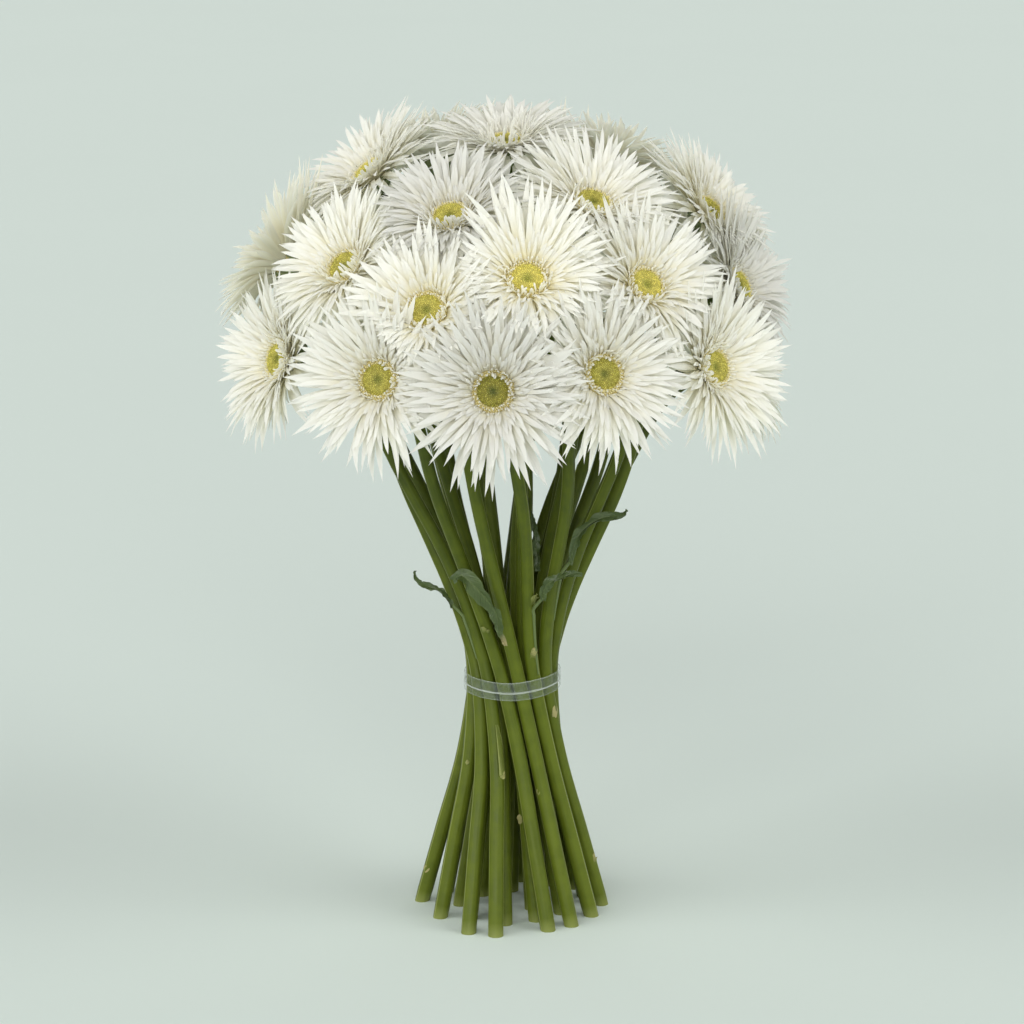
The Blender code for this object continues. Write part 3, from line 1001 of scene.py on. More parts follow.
@dataclass
class Bloom:
    """One flower head: calyx, disc and whorls of florets on top of its stalk."""

    number: int
    stalk: Stalk
    size: float
    ripeness: float
    warmth: float
    # Painted light: how white this bloom's petals are made, standing in for how brightly it is lit.
    painted_light: float
    heavy_side: float
    veil: float
    stretch: float
    seat_height: float = 0.0164
    overlap: float = 0.021
    peek: float = 0.006
    touching: float = 0.115
    tuck: float = 16.0
    lift: float = 12.0
    disc_radius: float = 0.0098
    disc_room: float = 0.011
    bud_count: int = 260
    bead_rows: tuple[float, ...] = (1.03, 1.13, 1.24)
    bead_count: int = 42
    bead_width: float = 0.00058
    cup: tuple[Span, ...] = ((0.0086, -0.0125), (0.0112, -0.0090), (0.0128, -0.0060),
                             (0.0133, -0.0040), (0.0120, -0.0030))
    scale_rows: tuple[tuple[int, float, float, float], ...] = (
        (10, 0.0, 0.0085, 6), (13, 0.26, 0.0105, 10), (16, 0.50, 0.0120, 16))
    neighbours: Array = field(default_factory=lambda: np.zeros((0, 3)))
    openings: tuple[tuple[float, float, float], ...] = (
        (0.003, 0.078, 0.480), (0.094, -0.020, 0.475), (-0.079, -0.030, 0.478),
        (-0.027, 0.148, 0.405), (0.080, 0.130, 0.418), (-0.128, 0.095, 0.400))
    opening_range: float = 0.125

    def __post_init__(self) -> None:
        """Sets the bloom's own axes and its own random draws."""
        self.name = f"bloom_{self.number:02d}"
        self.rng = np.random.default_rng(4000 + 17 * self.number)
        self.axis = self.stalk.facing
        self.centre = self.stalk.line[-1] + self.seat_height * self.axis
        self.east = unit(np.cross(UP, self.axis)) if abs(self.axis[2]) < 0.99 else RIGHT
        self.north = np.cross(self.axis, self.east)

    def place(self, local: Array) -> Array:
        """Moves points from the bloom's own axes to the bunch's."""
        return (self.centre + local[..., 0:1] * self.east + local[..., 1:2] * self.north
                + local[..., 2:3] * self.axis)

    def toward(self, turn: Array, places: Array) -> tuple[Array, Array, Array]:
        """Compares the way that florets point with the way to some places.

        Args:
            turn: The florets' places round the disc, in radians.
            places: Points of the bunch.

        Returns:
            The way to each place, how far it is, and the cosine between each floret and each way.
        """
        heading = np.cos(turn)[:, None] * self.east + np.sin(turn)[:, None] * self.north
        gap = places - self.centre
        apart = np.linalg.norm(gap, axis=1)
        return gap, apart, heading @ (gap / apart[:, None]).T

    def reach(self, turn: Array) -> Array:
        """Gives how far a flat floret can reach before it is halfway to a neighbour's middle."""
        _, apart, closing = self.toward(turn, self.neighbours)
        return np.where(closing > 0.15, 0.5 * apart / np.maximum(closing, 0.15), 1.0).min(axis=1)

    def crowd(self, turn: Array) -> tuple[Array, Array]:
        """Tells how far florets point at a close neighbour that stands lower, or one that stands higher.

        Args:
            turn: The florets' places round the disc, in radians.

        Returns:
            A share from 0 to 1 for a lower neighbour, which lies in front, and one for a higher.
        """
        gap, apart, closing = self.toward(turn, self.neighbours)
        near = np.clip((closing - 0.45) / 0.40, 0, 1) * np.clip((self.touching - apart) / 0.030, 0, 1)
        fall = np.clip(-gap[:, 2] / 0.022, -1, 1)
        return (near * np.maximum(fall, 0)).max(axis=1), (near * np.maximum(-fall, 0)).max(axis=1)

    def filling(self, turn: Array) -> Array:
        """Gives how many times longer florets grow where they point at an opening in the dome.

        Args:
            turn: The florets' places round the disc, in radians.

        Returns:
            One where there is no opening, and up to one and the bloom's stretch.
        """
        _, apart, closing = self.toward(turn, np.array(self.openings))
        near = np.clip((closing - 0.40) / 0.45, 0, 1) * np.clip((self.opening_range - apart) / 0.025, 0, 1)
        return 1.0 + self.stretch * near.max(axis=1)

    def clear_of_discs(self, spine: Array) -> Array:
        """Tells which florets, by their middle lines, stay out of the neighbours' discs."""
        gap = self.place(spine)[:, :, None] - self.neighbours
        return np.linalg.norm(gap, axis=-1).min(axis=(1, 2)) > self.disc_room

    def middle_lines(self, plan: Whorl, turn: Array, root: Array, length: Array, lean_tip: Array) -> Array:
        """Draws the middle lines of one whorl's florets.

        Args:
            plan: The whorl's sizes.
            turn: The florets' places round the disc, in radians.
            root: How far out each floret starts.
            length: The florets' lengths.
            lean_tip: How far each tip leans from the bloom's axis.

        Returns:
            Points of shape (florets, points, 3), in the bloom's own axes.
        """
        rng, n = self.rng, plan.count
        steps = plan.steps
        middle = 0.5 * (steps[1:] + steps[:-1])
        bow = rng.normal(0, 5, n)[:, None] * np.sin(math.pi * middle)
        lean = np.radians(plan.lean_root + (lean_tip[:, None] - plan.lean_root) * middle**0.7 + bow)
        pace = length[:, None] * np.diff(steps)
        start = np.zeros((n, 1))
        out = root[:, None] + np.hstack([start, np.cumsum(np.sin(lean) * pace, axis=1)])
        high = plan.root_height + np.hstack([start, np.cumsum(np.cos(lean) * pace, axis=1)])
        drift, hook = rng.normal(0, plan.sway, (2, n))
        aside = length[:, None] * (drift[:, None] * steps + hook[:, None] * steps**3 * 0.7)
        radial, round_way = out_and_round(turn)
        return radial * out[..., None] + round_way * aside[..., None] + UP * high[..., None]

    def whorl(self, draft: Draft, plan: Whorl) -> None:
        """Adds one whorl of florets to the draft.

        Args:
            draft: The draft of the bloom's florets.
            plan: The whorl's sizes.
        """
        rng, n = self.rng, plan.count
        turn = (np.arange(n) + rng.uniform(-0.38, 0.38, n)) * FULL_TURN / n + rng.uniform(0, FULL_TURN)
        root = rng.uniform(*plan.root, n)
        heavier = 1.0 + plan.gathered * np.cos(turn - math.radians(self.heavy_side))
        length = rng.uniform(*plan.length, n) * self.size * heavier
        length = length * (self.veil if plan.gathered else self.filling(turn))
        width = rng.uniform(*plan.width, n) * heavier**0.5
        lean_tip = rng.uniform(*plan.lean_tip, n)
        below, above = self.crowd(turn)
        limit = self.reach(turn) + np.where(below > 0, self.peek, self.overlap) - root
        share = np.clip(limit / length, 0.35, 1.0)
        length = np.where(below > 0, length * (1 - below * (1 - share)), length)
        pressed = plan.lean_root + (np.degrees(np.arcsin(share)) - plan.lean_root) / 0.62
        pressed = np.where(below > 0, 90.0, np.maximum(pressed, plan.lean_root + 4))
        outer = plan.length[1] / WHORLS[-1].length[1]
        lean_tip = np.minimum(lean_tip, pressed) + outer * (self.tuck * below - self.lift * above)
        spine = self.middle_lines(plan, turn, root, length, lean_tip)
        ahead = tangents(spine)
        side = square_to(ahead, out_and_round(turn)[1])
        roll = np.radians(rng.normal(0, plan.twist, n))[:, None, None] * plan.steps[:, None]
        side, upper = rolled(side, np.cross(ahead, side), roll)
        corners = plan.section.corners()
        half = (0.5 * width[:, None] * plan.outline.widths(plan.steps))[..., None]
        fold = plan.channel * rng.uniform(0.5, 1.3, n)[:, None, None] * half
        across = corners[:, 0] * half
        rings = strap_rings(spine, side, upper, across, corners[:, 1] * fold + corners[:, 2] * plan.thickness)
        tips = spine[:, -1] + ahead[:, -1] * (0.03 * length)[:, None]
        tone, warmth = rng.uniform(0, 1, (n, 1, 1)), self.warmth * rng.uniform(*plan.warmth, (n, 1, 1))
        # Painted light for the whole bloom, plus a random tone for each floret.
        fresh = np.clip(self.painted_light + 0.3 * (tone - 0.5), 0, 1)
        travelled = length[:, None, None] * plan.steps[:, None] / MM
        grain = np.stack(np.broadcast_arrays(across / MM, tone * 61, travelled), -1)
        clear = self.clear_of_discs(spine)
        draft.add_sweeps(rings[clear], tips[clear], along=plan.steps[:, None],
                         under=np.clip(-corners[:, 2], 0, 1), tone=fresh[clear], warmth=warmth[clear],
                         grain=grain[clear])

    def disc(self, draft: Draft) -> None:
        """Adds the disc: a low bed with a dimple, covered with buds in spiral order.

        Args:
            draft: The draft of the disc.
        """
        rng = self.rng
        turns = even_turns(24)
        radii = np.array([0.06, 0.25, 0.5, 0.75, 1.0, 1.2, 1.38]) * self.disc_radius
        flat = np.stack([np.outer(radii, np.cos(turns)), np.outer(radii, np.sin(turns))], -1)
        rings = np.concatenate([flat, self.bed(np.linalg.norm(flat, axis=-1))[..., None]], -1)
        skirt = rings[-1:].copy()
        skirt[..., 2] = -0.006
        rings = np.concatenate([skirt, rings[::-1]])[None]
        apex = self.bed(np.zeros(1)) * UP[None]
        far = np.linalg.norm(rings[..., :2], axis=-1) / self.disc_radius
        draft.add_sweeps(self.place(rings), self.place(apex), along=far, tone=self.ripeness,
                         rise=0.0, grain=0.5)
        order = np.arange(self.bud_count) + 0.5
        far = 0.97 * np.sqrt(order / self.bud_count) + rng.normal(0, 0.008, self.bud_count)
        wide = self.disc_radius / math.sqrt(self.bud_count) * (0.88 + 0.15 * far)
        self.buds(draft, far, order * GOLDEN_ANGLE, wide, 0.00040 + 0.00050 * far**2)
        for row, out in enumerate(self.bead_rows):
            place = np.arange(self.bead_count) + 0.5 * (row % 2) + rng.uniform(-0.3, 0.3, self.bead_count)
            far = out + rng.normal(0, 0.018, self.bead_count)
            self.buds(draft, far, place * FULL_TURN / self.bead_count, self.bead_width,
                      rng.uniform(0.0010, 0.0019, self.bead_count))

    def bed(self, radius: Array) -> Array:
        """Gives the height of the disc's bed at a radius: a dimple, a round shoulder, then a fall."""
        share = radius / self.disc_radius
        return 0.0016 * np.sin(np.clip(share, 0, 1.4) * 2.2) - 0.0006

    def buds(self, draft: Draft, far: Array, angle: Array, wide: Any, tall: Array) -> None:
        """Adds small round-topped buds.

        Args:
            draft: The draft of the disc.
            far: Each bud's distance from the middle, as a share of the disc's radius.
            angle: Each bud's place round the disc, in radians.
            wide: Each bud's half width, or one for all of them.
            tall: Each bud's height.
        """
        rng, n = self.rng, len(far)
        radius = far * self.disc_radius
        base = np.stack([radius * np.cos(angle), radius * np.sin(angle), self.bed(radius)], -1)
        wide = (wide * rng.uniform(0.85, 1.1, n))[:, None, None, None]
        tall = (tall * rng.uniform(0.8, 1.2, n))[:, None, None, None]
        circle = out_and_round(even_turns(4))[0][:, 0]
        share, level = np.array([(1.0, -0.3), (0.82, 0.62)]).T[..., None, None]
        rings = base[:, None, None] + wide * share * circle + tall * level * UP
        tone = np.clip(self.ripeness + rng.normal(0, 0.10, (n, 1, 1)), 0, 1)
        draft.add_sweeps(self.place(rings), self.place(base + tall[:, 0, 0] * UP),
                         along=far[:, None, None], tone=tone, rise=np.array([[0.0], [1.0]]),
                         grain=rng.uniform(0, 1, (n, 1, 1)))

    def calyx(self, draft: Draft) -> None:
        """Adds the green cup and its rows of pointed scales.

        Args:
            draft: The draft of the calyx.
        """
        neck = float(self.stalk.radii[-1])
        profile = smooth_curve(np.array([(neck, -0.0172), (neck + 0.0014, -0.0155), *self.cup]), 13)
        radial = out_and_round(even_turns(20))[0][:, 0]
        rings = (profile[:, :1, None] * radial + profile[:, 1:, None] * UP)[None]
        draft.add_sweeps(self.place(rings), None, tone=0.35, pale=0.0, grain=rings * SKIN_GRAIN)
        for row, sizes in enumerate(self.scale_rows):
            self.scales(draft, profile, 0.5 * (row % 2), *sizes)

    def scales(self, draft: Draft, profile: Array, shift: float, count: int, low: float, long: float,
               spread: float) -> None:
        """Adds one row of scales that lie up the cup.

        Args:
            draft: The draft of the calyx.
            profile: The cup's outline as (radius, height) points.
            shift: How many scales the row is turned by.
            count: How many scales the row has.
            low: Where the row starts, as a share of the way up the cup.
            long: The scales' length.
            spread: How far the tips stand away from the cup, in degrees.
        """
        rng, steps = self.rng, np.linspace(0, 1, 5)
        turn = (np.arange(count) + shift + rng.uniform(-0.15, 0.15, count)) * FULL_TURN / count
        way_up = np.hstack([[0], np.cumsum(np.linalg.norm(np.diff(profile, axis=0), axis=1))])
        climb = low * way_up[-1] + (long * rng.uniform(0.85, 1.15, count))[:, None] * steps
        travel = np.minimum(climb, way_up[-3])
        out = np.interp(travel, way_up, profile[:, 0]) + 0.0004 + 0.0022 * steps**2 * spread / 16
        high = np.interp(travel, way_up, profile[:, 1]) + (climb - travel)
        radial, side = out_and_round(turn)
        spine = radial * out[..., None] + UP * high[..., None]
        ahead = tangents(spine)
        corners = Section.STRAP.corners()
        half = 0.0021 * Outline.SCALE.widths(steps)[:, None]
        rise = corners[:, 1] * 0.35 * half + corners[:, 2] * 0.00022
        rings = strap_rings(spine, side, np.cross(ahead, side), corners[:, 0] * half, rise)
        tips = spine[:, -1] + ahead[:, -1] * 0.0008
        draft.add_sweeps(self.place(rings), self.place(tips), tone=rng.uniform(0.2, 0.9, (count, 1, 1)),
                         pale=0.35 * np.abs(corners[:, 0]) ** 3 + 0.25 * steps[:, None],
                         grain=rings * 2 * SKIN_GRAIN)

    def build(self, finishes: Finishes) -> None:
        """Makes the bloom's three pieces.

        Args:
            finishes: Every material of the bunch.
        """
        rays, disc, calyx = Draft(), Draft(), Draft()
        for plan in WHORLS:
            self.whorl(rays, plan)
        self.disc(disc)
        self.calyx(calyx)
        rays.points = [self.place(points) for points in rays.points]
        rays.hand_over(f"{self.name}_florets", finishes.petal, Slot.PETAL, self.name)
        disc.hand_over(f"{self.name}_disc", finishes.disc, Slot.DISC, self.name)
        calyx.hand_over(f"{self.name}_calyx", finishes.calyx, Slot.CALYX, self.name)


# Leaves


@dataclass
class Leaf:
    """A small curled leaf that follows a packed leaf."""

    node: str
    seed: int
    petiole: float
    withered: float
    steps: int = 72
    across: int = 11
    tears: int = 4
    thickness: float = 0.00035
    ruffle: float = 0.0008

    def sections(self) -> tuple[Array, Array]:
        """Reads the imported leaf.

        Returns:
            The middle of each section from the tip down, and the vector across it to one edge.
        """
        points, links = welded(self.node)
        end = points[np.argmax(np.linalg.norm(points - points.mean(axis=0), axis=1))]
        near = np.argsort(np.linalg.norm(points - end, axis=1))[:6]
        middles, halves = [], []
        for layer in rings_of(points, links, near):
            gaps = layer[:, None] - layer[None]
            a, b = np.unravel_index(np.argmax(np.linalg.norm(gaps, axis=-1)), gaps.shape[:2])
            half = 0.5 * gaps[a, b]
            if halves and half @ halves[-1] < 0:
                half = -half
            middles.append(layer.mean(axis=0))
            halves.append(half)
        return np.array(middles), np.array(halves)

    def build(self, finish: Material, stalks: Sequence[Stalk]) -> None:
        """Makes the blade with its midrib and torn, wavy edges, and its petiole down the stalk.

        Args:
            finish: The leaf's material.
            stalks: Every stalk of the bunch.
        """
        rng = np.random.default_rng(self.seed)
        spine, half = (smooth_curve(part, self.steps) for part in self.sections())
        hangs = spine[0, 2] > spine[-1, 2]
        ahead = tangents(spine)
        side = square_to(ahead, half)
        width = np.linalg.norm(half, axis=1)[:, None]
        place = np.linspace(0, 1, self.steps)[:, None]
        cut = np.linspace(1, -1, self.across)
        torn = np.ones((self.steps, self.across))
        for edge in (cut > 0, cut < 0):
            tears = (rng.uniform(*span, self.tears) for span in ((0.10, 0.90), (0.12, 0.42), (0.012, 0.035)))
            for at, deep, wide in zip(*tears):
                torn = torn - edge * deep * np.exp(-((place - at) / wide) ** 2)
        torn = np.clip(torn, 0.45, 1.0)
        side, above = rolled(side, np.cross(ahead, side), 0.5 * np.sin(9 * place + rng.uniform(0, 6)))
        wave = self.ruffle * np.abs(cut) ** 3 * (np.sin(26 * place + 2.5 * cut + rng.uniform(0, 6))
                                                 + 0.5 * np.sin(61 * place - 3 * cut))
        fold = 0.45 * width * np.abs(cut) ** 1.4 - 0.16 * width
        lift = wave + fold - 0.00035 * np.exp(-((cut / 0.16) ** 2))
        thin = self.thickness * (1 - cut**2)
        top, under = (strap_rings(spine, side, above, cut * torn * width, lift + way * thin)
                      for way in (1, -1))
        rings = np.concatenate([top, under[:, -2:0:-1]], axis=1)[None]
        ways = np.concatenate([cut, cut[-2:0:-1]])
        pale = 0.40 * np.exp(-((ways / 0.10) ** 2)) + 0.22 * np.abs(ways) ** 8
        run = place * np.linalg.norm(np.diff(spine, axis=0), axis=1).sum() / MM
        vein = np.abs(ways) * width / MM
        grain = np.stack(np.broadcast_arrays(vein + run * 0.8, float(self.seed), vein - run * 0.1), -1)
        dry = self.withered * np.clip(((place if hangs else 1 - place) - 0.86) / 0.10, 0, 1)
        draft = Draft()
        draft.add_sweeps(rings, None, tone=rng.uniform(0.2, 0.8), pale=pale * 0.6, dry=dry, grain=grain[None])
        if self.petiole:
            self.stem_down(draft, spine[-1 if hangs else 0], stalks)
        draft.hand_over(f"{self.node}_blade", finish, Slot.LEAF, self.node)

    def stem_down(self, draft: Draft, base: Array, stalks: Sequence[Stalk]) -> None:
        """Adds the narrow petiole, which lies down the stalk that the leaf grows from.

        Args:
            draft: The draft of the leaf.
            base: The blade's lower end.
            stalks: Every stalk of the bunch.
        """
        def gap(stalk: Stalk) -> float:
            """Gives the distance from the blade's lower end to the stalk's skin."""
            middle, _, radius = stalk.at_height(base[2])
            return float(np.linalg.norm((base - middle)[:2])) - radius
        home = min(stalks, key=gap)
        middle, ahead, _ = home.at_height(base[2])
        outward = square_to(ahead, base - middle)
        path, sizes = [base + 0.002 * UP], [0.0011]
        for step in np.linspace(0.12, 1, 12):
            middle, ahead, radius = home.at_height(base[2] - self.petiole * step)
            thick = 0.0013 - 0.0008 * step
            path.append(middle + square_to(ahead, outward) * (radius + 0.3 * thick))
            sizes.append(thick)
        line, thick = (smooth_curve(part, 30) for part in (np.array(path)[::-1], np.array(sizes)[::-1, None]))
        rings = tube_rings(line, outward, thick, even_turns(8))[None]
        draft.add_sweeps(rings, None, tone=0.9, pale=0.35, dry=0.0, grain=rings * SKIN_GRAIN)


# Tie


@dataclass
class Elastic:
    """The clear elastic strip, two turns one above the other."""

    node: str = "tie_band"
    sides: int = 120
    thickness: float = 0.0008
    groove: float = 0.40
    gap: float = 0.0001
    section: tuple[Span, ...] = ((1, 0.12), (1, 0.88), (0.8, 0.97), (0.5, 1.0), (0.15, 0.97), (0, 0.88),
                                 (0, 0.12), (0.15, 0.03), (0.5, 0.0), (0.8, 0.03))

    def build(self, finish: Material) -> None:
        """Makes both turns as one piece.

        Args:
            finish: The elastic's material.
        """
        points, _ = welded(self.node)
        middle = 0.5 * (points.min(axis=0) + points.max(axis=0))
        turn = even_turns(self.sides)
        x, y = (points - middle)[:, :2].T
        around, far = np.arctan2(y, x), np.hypot(x, y)
        outer = far > far.mean()
        order = np.argsort(around[outer] % FULL_TURN)
        ring_far = np.interp(turn, (around[outer] % FULL_TURN)[order], far[outer][order], period=FULL_TURN)
        foot, head = (self.level(points, around, turn, edge) for edge in (np.min, np.max))
        split = foot + self.groove * (head - foot)
        draft = Draft()
        self.strip(draft, middle, turn, ring_far, foot, split - 0.5 * self.gap, 0.3, False)
        self.strip(draft, middle, turn, ring_far, split + 0.5 * self.gap, head, 2.1, True)
        draft.hand_over("tie_elastic", finish, Slot.TIE, self.node)

    @staticmethod
    def level(points: Array, around: Array, turn: Array, edge: Any) -> Array:
        """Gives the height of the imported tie's upper or lower edge at each turn.

        Args:
            points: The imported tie's points.
            around: The angle of each point.
            turn: The angles to look at.
            edge: Picks the lowest or the highest of some heights.

        Returns:
            The edge's height at each angle.
        """
        found = [edge(points[turn_between(around, angle) < math.radians(12), 2]) for angle in turn]
        padded = np.concatenate([found[-4:], found, found[:4]])
        return np.convolve(padded, np.ones(9) / 9, "valid")

    def strip(self, draft: Draft, middle: Array, turn: Array, far: Array, base: Array, crown: Array,
              phase: float, upper: bool) -> None:
        """Adds one turn of strip with rounded edges.

        Args:
            draft: The draft of the elastic.
            middle: The ring's middle.
            turn: The angles round the ring.
            far: The ring's outer radius at each angle.
            base: The height of the strip's lower edge at each angle.
            crown: The height of its upper edge at each angle.
            phase: Where the strip's slight waves start.
            upper: Whether it is the upper turn.
        """
        inset, level = np.array(self.section).T
        wave = 0.00018 * np.sin(3 * turn + phase) + 0.00010 * np.sin(11 * turn + 2 * phase)
        depth = far[:, None] + wave[:, None] - self.thickness * (1 - inset)
        height = base[:, None] + (crown - base)[:, None] * level
        rings = np.stack([middle[0] + depth * np.cos(turn)[:, None],
                          middle[1] + depth * np.sin(turn)[:, None], height], -1)
        count, corners = height.shape
        i = np.arange(corners)
        after = (i + 1) % corners
        row = corners * np.arange(count)[:, None]
        ahead = np.roll(row, -1, axis=0)
        faces = np.stack([row + i, ahead + i, ahead + after, row + after], -1).reshape(-1, 4)
        # Painted highlight on the rounded edges, strongest where the two turns meet.
        rim = np.clip(np.abs(level - 0.5) * 2 - 0.76, 0, 0.24) / 0.24
        pale = rim * np.where((level > 0.5) == upper, 0.55, 1.0)
        draft.add(rings.reshape(-1, 3), [faces], pale=np.tile(pale, count))


# Studio


@dataclass
class Studio:
    """Floor, light and camera."""

    floor_half: float = 30.0
    bounces: int = 12
    backdrop: Colour = (0.617, 0.694, 0.644)
    floor_share: float = 1.255
    low_sky: float = 0.56
    high_sky: float = 0.10
    lamps: tuple[tuple[str, float, float, float, float], ...] = (
        ("front", 1.62, 50.0, -8.0, 17.0),
        ("left", 0.90, 45.0, -65.0, 35.0),
        ("right", 0.93, 45.0, 65.0, 35.0),
        ("back", 0.15, 60.0, 180.0, 45.0),
    )
    target: tuple[float, float, float] = (0.0018, 0.0, 0.2715)
    distance: float = 2.4
    elevation: float = 13.0
    lens: float = 129.8

    def floor(self, effects: Effects) -> None:
        """Lays the floor.

        Args:
            effects: The shared effects.
        """
        corners = self.floor_half * np.array([(-1, -1, 0), (1, -1, 0), (1, 1, 0), (-1, 1, 0)])
        draft = Draft()
        draft.add(corners, [np.array([[0, 1, 2, 3]])])
        colour = tuple(self.floor_share * c for c in self.backdrop)
        draft.build("floor", FloorFinish(colour).material(effects))

    def world(self) -> None:
        """Sets even light from all round, dimmer from above, with a pale backdrop where it is seen."""
        made = bpy.data.worlds.new("studio_air")
        made.use_nodes = True
        bpy.context.scene.world = made
        board = Board(made.node_tree)
        made.node_tree.nodes.clear()
        way = board.node("TexCoord").outputs["Generated"]
        height = board.node("SeparateXYZ", {0: way}).outputs["Z"]
        glow = board.fade(height, (0.45, 0.80), (self.low_sky, self.high_sky))
        light = board.node("Background", {"Color": (1.0, 1.0, 1.0, 1.0), "Strength": glow})
        seen = board.node("Background", {"Color": (*self.backdrop, 1.0), "Strength": 1.0})
        rays = board.node("LightPath").outputs
        share = board.math("ADD", rays["Is Camera Ray"], rays["Is Glossy Ray"])
        share = board.math("ADD", share, rays["Is Transmission Ray"])
        mixed = board.node("MixShader", {0: share, 1: light.outputs[0], 2: seen.outputs[0]})
        board.node("OutputWorld", {"Surface": mixed.outputs[0]})

    def lamp(self, name: str, strength: float, size: float, turn: float, elevation: float) -> None:
        """Adds a soft lamp that is far away.

        Args:
            name: The lamp's name.
            strength: Its strength.
            size: How wide it looks, in degrees.
            turn: The side that it stands on: 0 is the front, 90 the right.
            elevation: Its height above the horizon in degrees.
        """
        data = bpy.data.lights.new(name, "SUN")
        data.energy = strength
        data.angle = math.radians(size)
        lamp = bpy.data.objects.new(name, data)
        lamp.rotation_euler = (math.radians(90 - elevation), 0.0, math.radians(turn))
        bpy.context.scene.collection.objects.link(lamp)

    def camera(self) -> None:
        """Sets the camera in front, a little above."""
        data = bpy.data.cameras.new("camera")
        data.lens = self.lens
        data.sensor_width = 36.0
        tilt = math.radians(self.elevation)
        camera = bpy.data.objects.new("camera", data)
        x, y, z = self.target
        camera.location = (x, y - self.distance * math.cos(tilt), z + self.distance * math.sin(tilt))
        camera.rotation_euler = (math.radians(90 - self.elevation), 0.0, 0.0)
        bpy.context.scene.collection.objects.link(camera)
        bpy.context.scene.camera = camera

    def build(self, effects: Effects) -> None:
        """Sets up everything round the bunch.

        Args:
            effects: The shared effects.
        """
        self.floor(effects)
        self.world()
        for lamp in self.lamps:
            self.lamp(*lamp)
        self.camera()
        bpy.context.scene.view_settings.view_transform = "Standard"
        bpy.context.scene.cycles.diffuse_bounces = self.bounces


# Bunch


def table(entries: dict[int, float]) -> Any:
    """Gives a field that holds values for some of the blooms."""
    return field(default_factory=entries.copy)


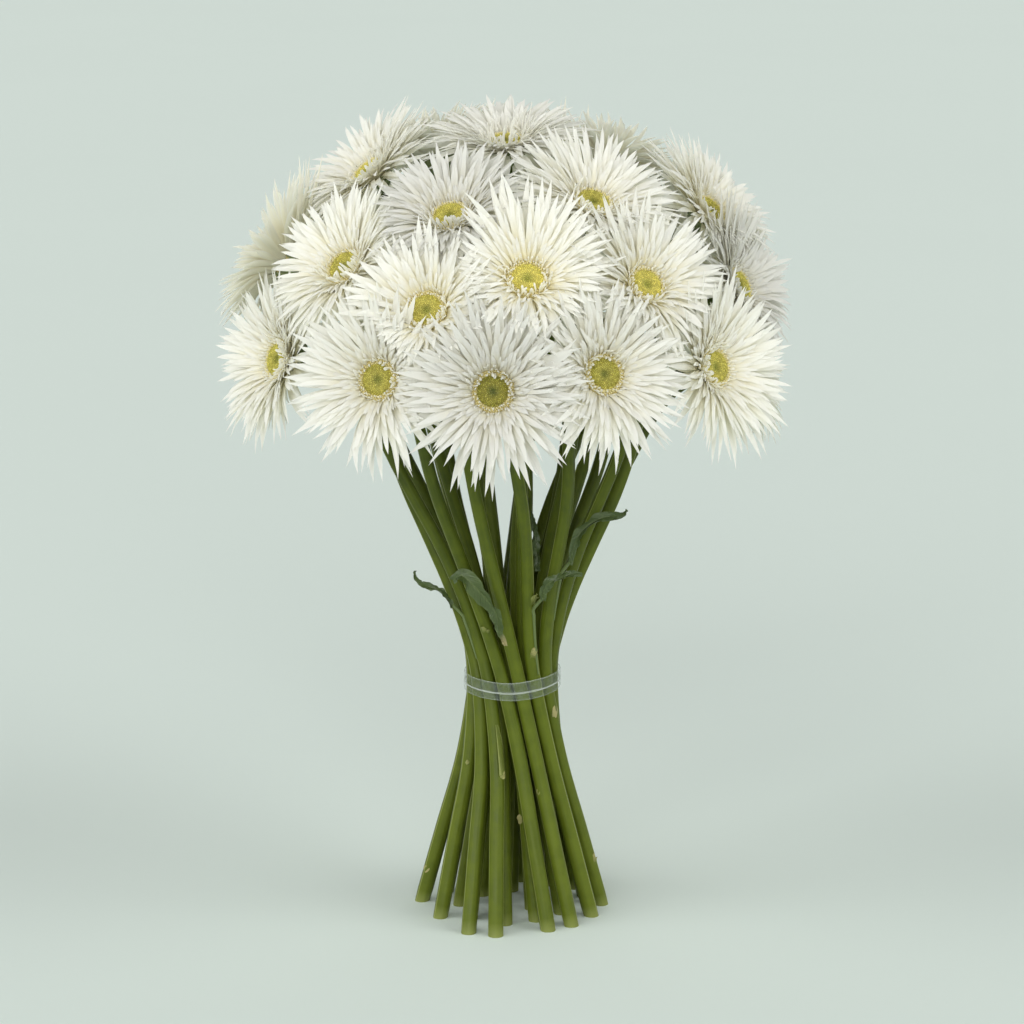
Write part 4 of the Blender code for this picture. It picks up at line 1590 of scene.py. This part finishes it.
@dataclass
class Bunch:
    """The whole bunch: stalks, blooms, leaves and tie."""

    count: int = 27
    leaves: tuple[tuple[str, float, float], ...] = (
        ("leaf_right_upper", 0.040, 0.0), ("leaf_left_curl", 0.034, 0.0), ("leaf_left_hanging", 0.0, 0.9),
        ("leaf_right_middle", 0.055, 0.0), ("leaf_inner", 0.0, 0.0))
    marks: tuple[Mark, ...] = (
        Mark(MarkKind.SHEATH, -0.0164, 0.1985, 0.006, 45.0),
        Mark(MarkKind.KNOB, 0.0162, 0.1860, 0.0070, dry=0.45),
        Mark(MarkKind.SHEATH, 0.0150, 0.1800, 0.0085, 24.0, 0.3),
        Mark(MarkKind.SHEATH, 0.0155, 0.2190, 0.010, 40.0),
        Mark(MarkKind.SCAR, 0.0305, 0.1395, 0.0085, dry=0.8),
        Mark(MarkKind.TORN, -0.0040, 0.1020, 0.0125, dry=0.35),
        Mark(MarkKind.KNOB, -0.0275, 0.105, 0.004, dry=0.2),
        Mark(MarkKind.KNOB, 0.0071, 0.069, 0.008, dry=0.6),
        Mark(MarkKind.SCAR, 0.0187, 0.090, 0.005, dry=0.3),
        Mark(MarkKind.SCAR, -0.0560, 0.023, 0.007, dry=0.8),
        Mark(MarkKind.SHEATH, 0.0578, 0.028, 0.009, 12.0, 0.9),
    )
    sizes: dict[int, float] = table({
        1: 0.84, 3: 0.96, 5: 0.92, 6: 1.04, 8: 1.04, 9: 0.92, 10: 0.84, 11: 1.05, 12: 1.06, 13: 1.08,
        14: 1.06, 15: 1.05, 16: 0.88, 17: 0.97, 18: 0.92, 19: 1.10, 20: 1.0, 21: 0.88, 22: 0.95,
        23: 1.10, 24: 1.10, 25: 1.0, 26: 0.86, 27: 0.95})
    ripeness: dict[int, float] = table({
        4: 0.45, 5: 0.60, 6: 0.12, 7: 0.38, 8: 0.6, 16: 0.75, 18: 0.6, 19: 0.82, 20: 0.75})
    warmths: dict[int, float] = table({
        2: 0.7, 3: 0.6, 4: 0.6, 5: 1.0, 6: 0.6, 7: 0.65, 8: 0.6, 9: 0.35, 17: 0.7, 18: 0.6, 19: 1.0,
        20: 0.9, 21: 0.8, 26: 0.2})
    # Painted light: how white each bloom's petals are made, standing in for how brightly each bloom is lit.
    painted_light: dict[int, float] = table({
        2: 1.0, 3: 0.85, 4: 0.6, 5: 0.9, 6: 0.2, 7: 0.55, 8: 1.0, 9: 0.1, 17: 1.0, 18: 0.1, 19: 1.0,
        20: 0.7, 26: 0.5})
    heavy_sides: dict[int, float] = table({
        4: 60.0, 5: -60.0, 6: 90.0, 7: 120.0, 8: 140.0, 17: -50.0, 18: -90.0, 19: -90.0, 20: -60.0})
    veils: dict[int, float] = table({17: 1.5, 18: 1.25, 26: 2.3})
    stretches: dict[int, float] = table({
        1: 0.30, 2: 0.30, 9: 0.20, 11: 0.35, 12: 0.35, 13: 0.35, 14: 0.35, 15: 0.40, 16: 0.40,
        21: 0.25, 22: 0.20, 23: 0.35, 24: 0.35, 26: 0.12, 27: 0.22})

    def build(self, finishes: Finishes) -> None:
        """Makes every piece.

        Args:
            finishes: Every material of the bunch.
        """
        stalks = [Stalk(f"stem_{k:02d}", 900 + k) for k in range(1, self.count + 1)]
        homes = [mark.stalk(stalks).node for mark in self.marks]
        for stalk in stalks:
            own = [mark for mark, home in zip(self.marks, homes) if home == stalk.node]
            stalk.build(finishes.stem, own)
        blooms = [Bloom(k, stalk, self.sizes.get(k, 0.98), self.ripeness.get(k, 0.55),
                        self.warmths.get(k, 0.5), self.painted_light.get(k, 0.7),
                        self.heavy_sides.get(k, 137.5 * k), self.veils.get(k, 1.0),
                        self.stretches.get(k, 0.0))
                  for k, stalk in enumerate(stalks, 1)]
        centres = np.array([bloom.centre for bloom in blooms])
        for k, bloom in enumerate(blooms):
            bloom.neighbours = np.delete(centres, k, axis=0)
            bloom.build(finishes)
        for k, (node, petiole, withered) in enumerate(self.leaves):
            Leaf(node, 70 + k, petiole, withered).build(finishes.leaf, stalks)
        Elastic().build(finishes.elastic)


def main() -> None:
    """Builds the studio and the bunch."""
    logging.basicConfig(level=logging.INFO, format="%(message)s")
    effects = Effects()
    Studio().build(effects)
    Bunch().build(Finishes.mix(effects))


if __name__ == "__main__":
    main()
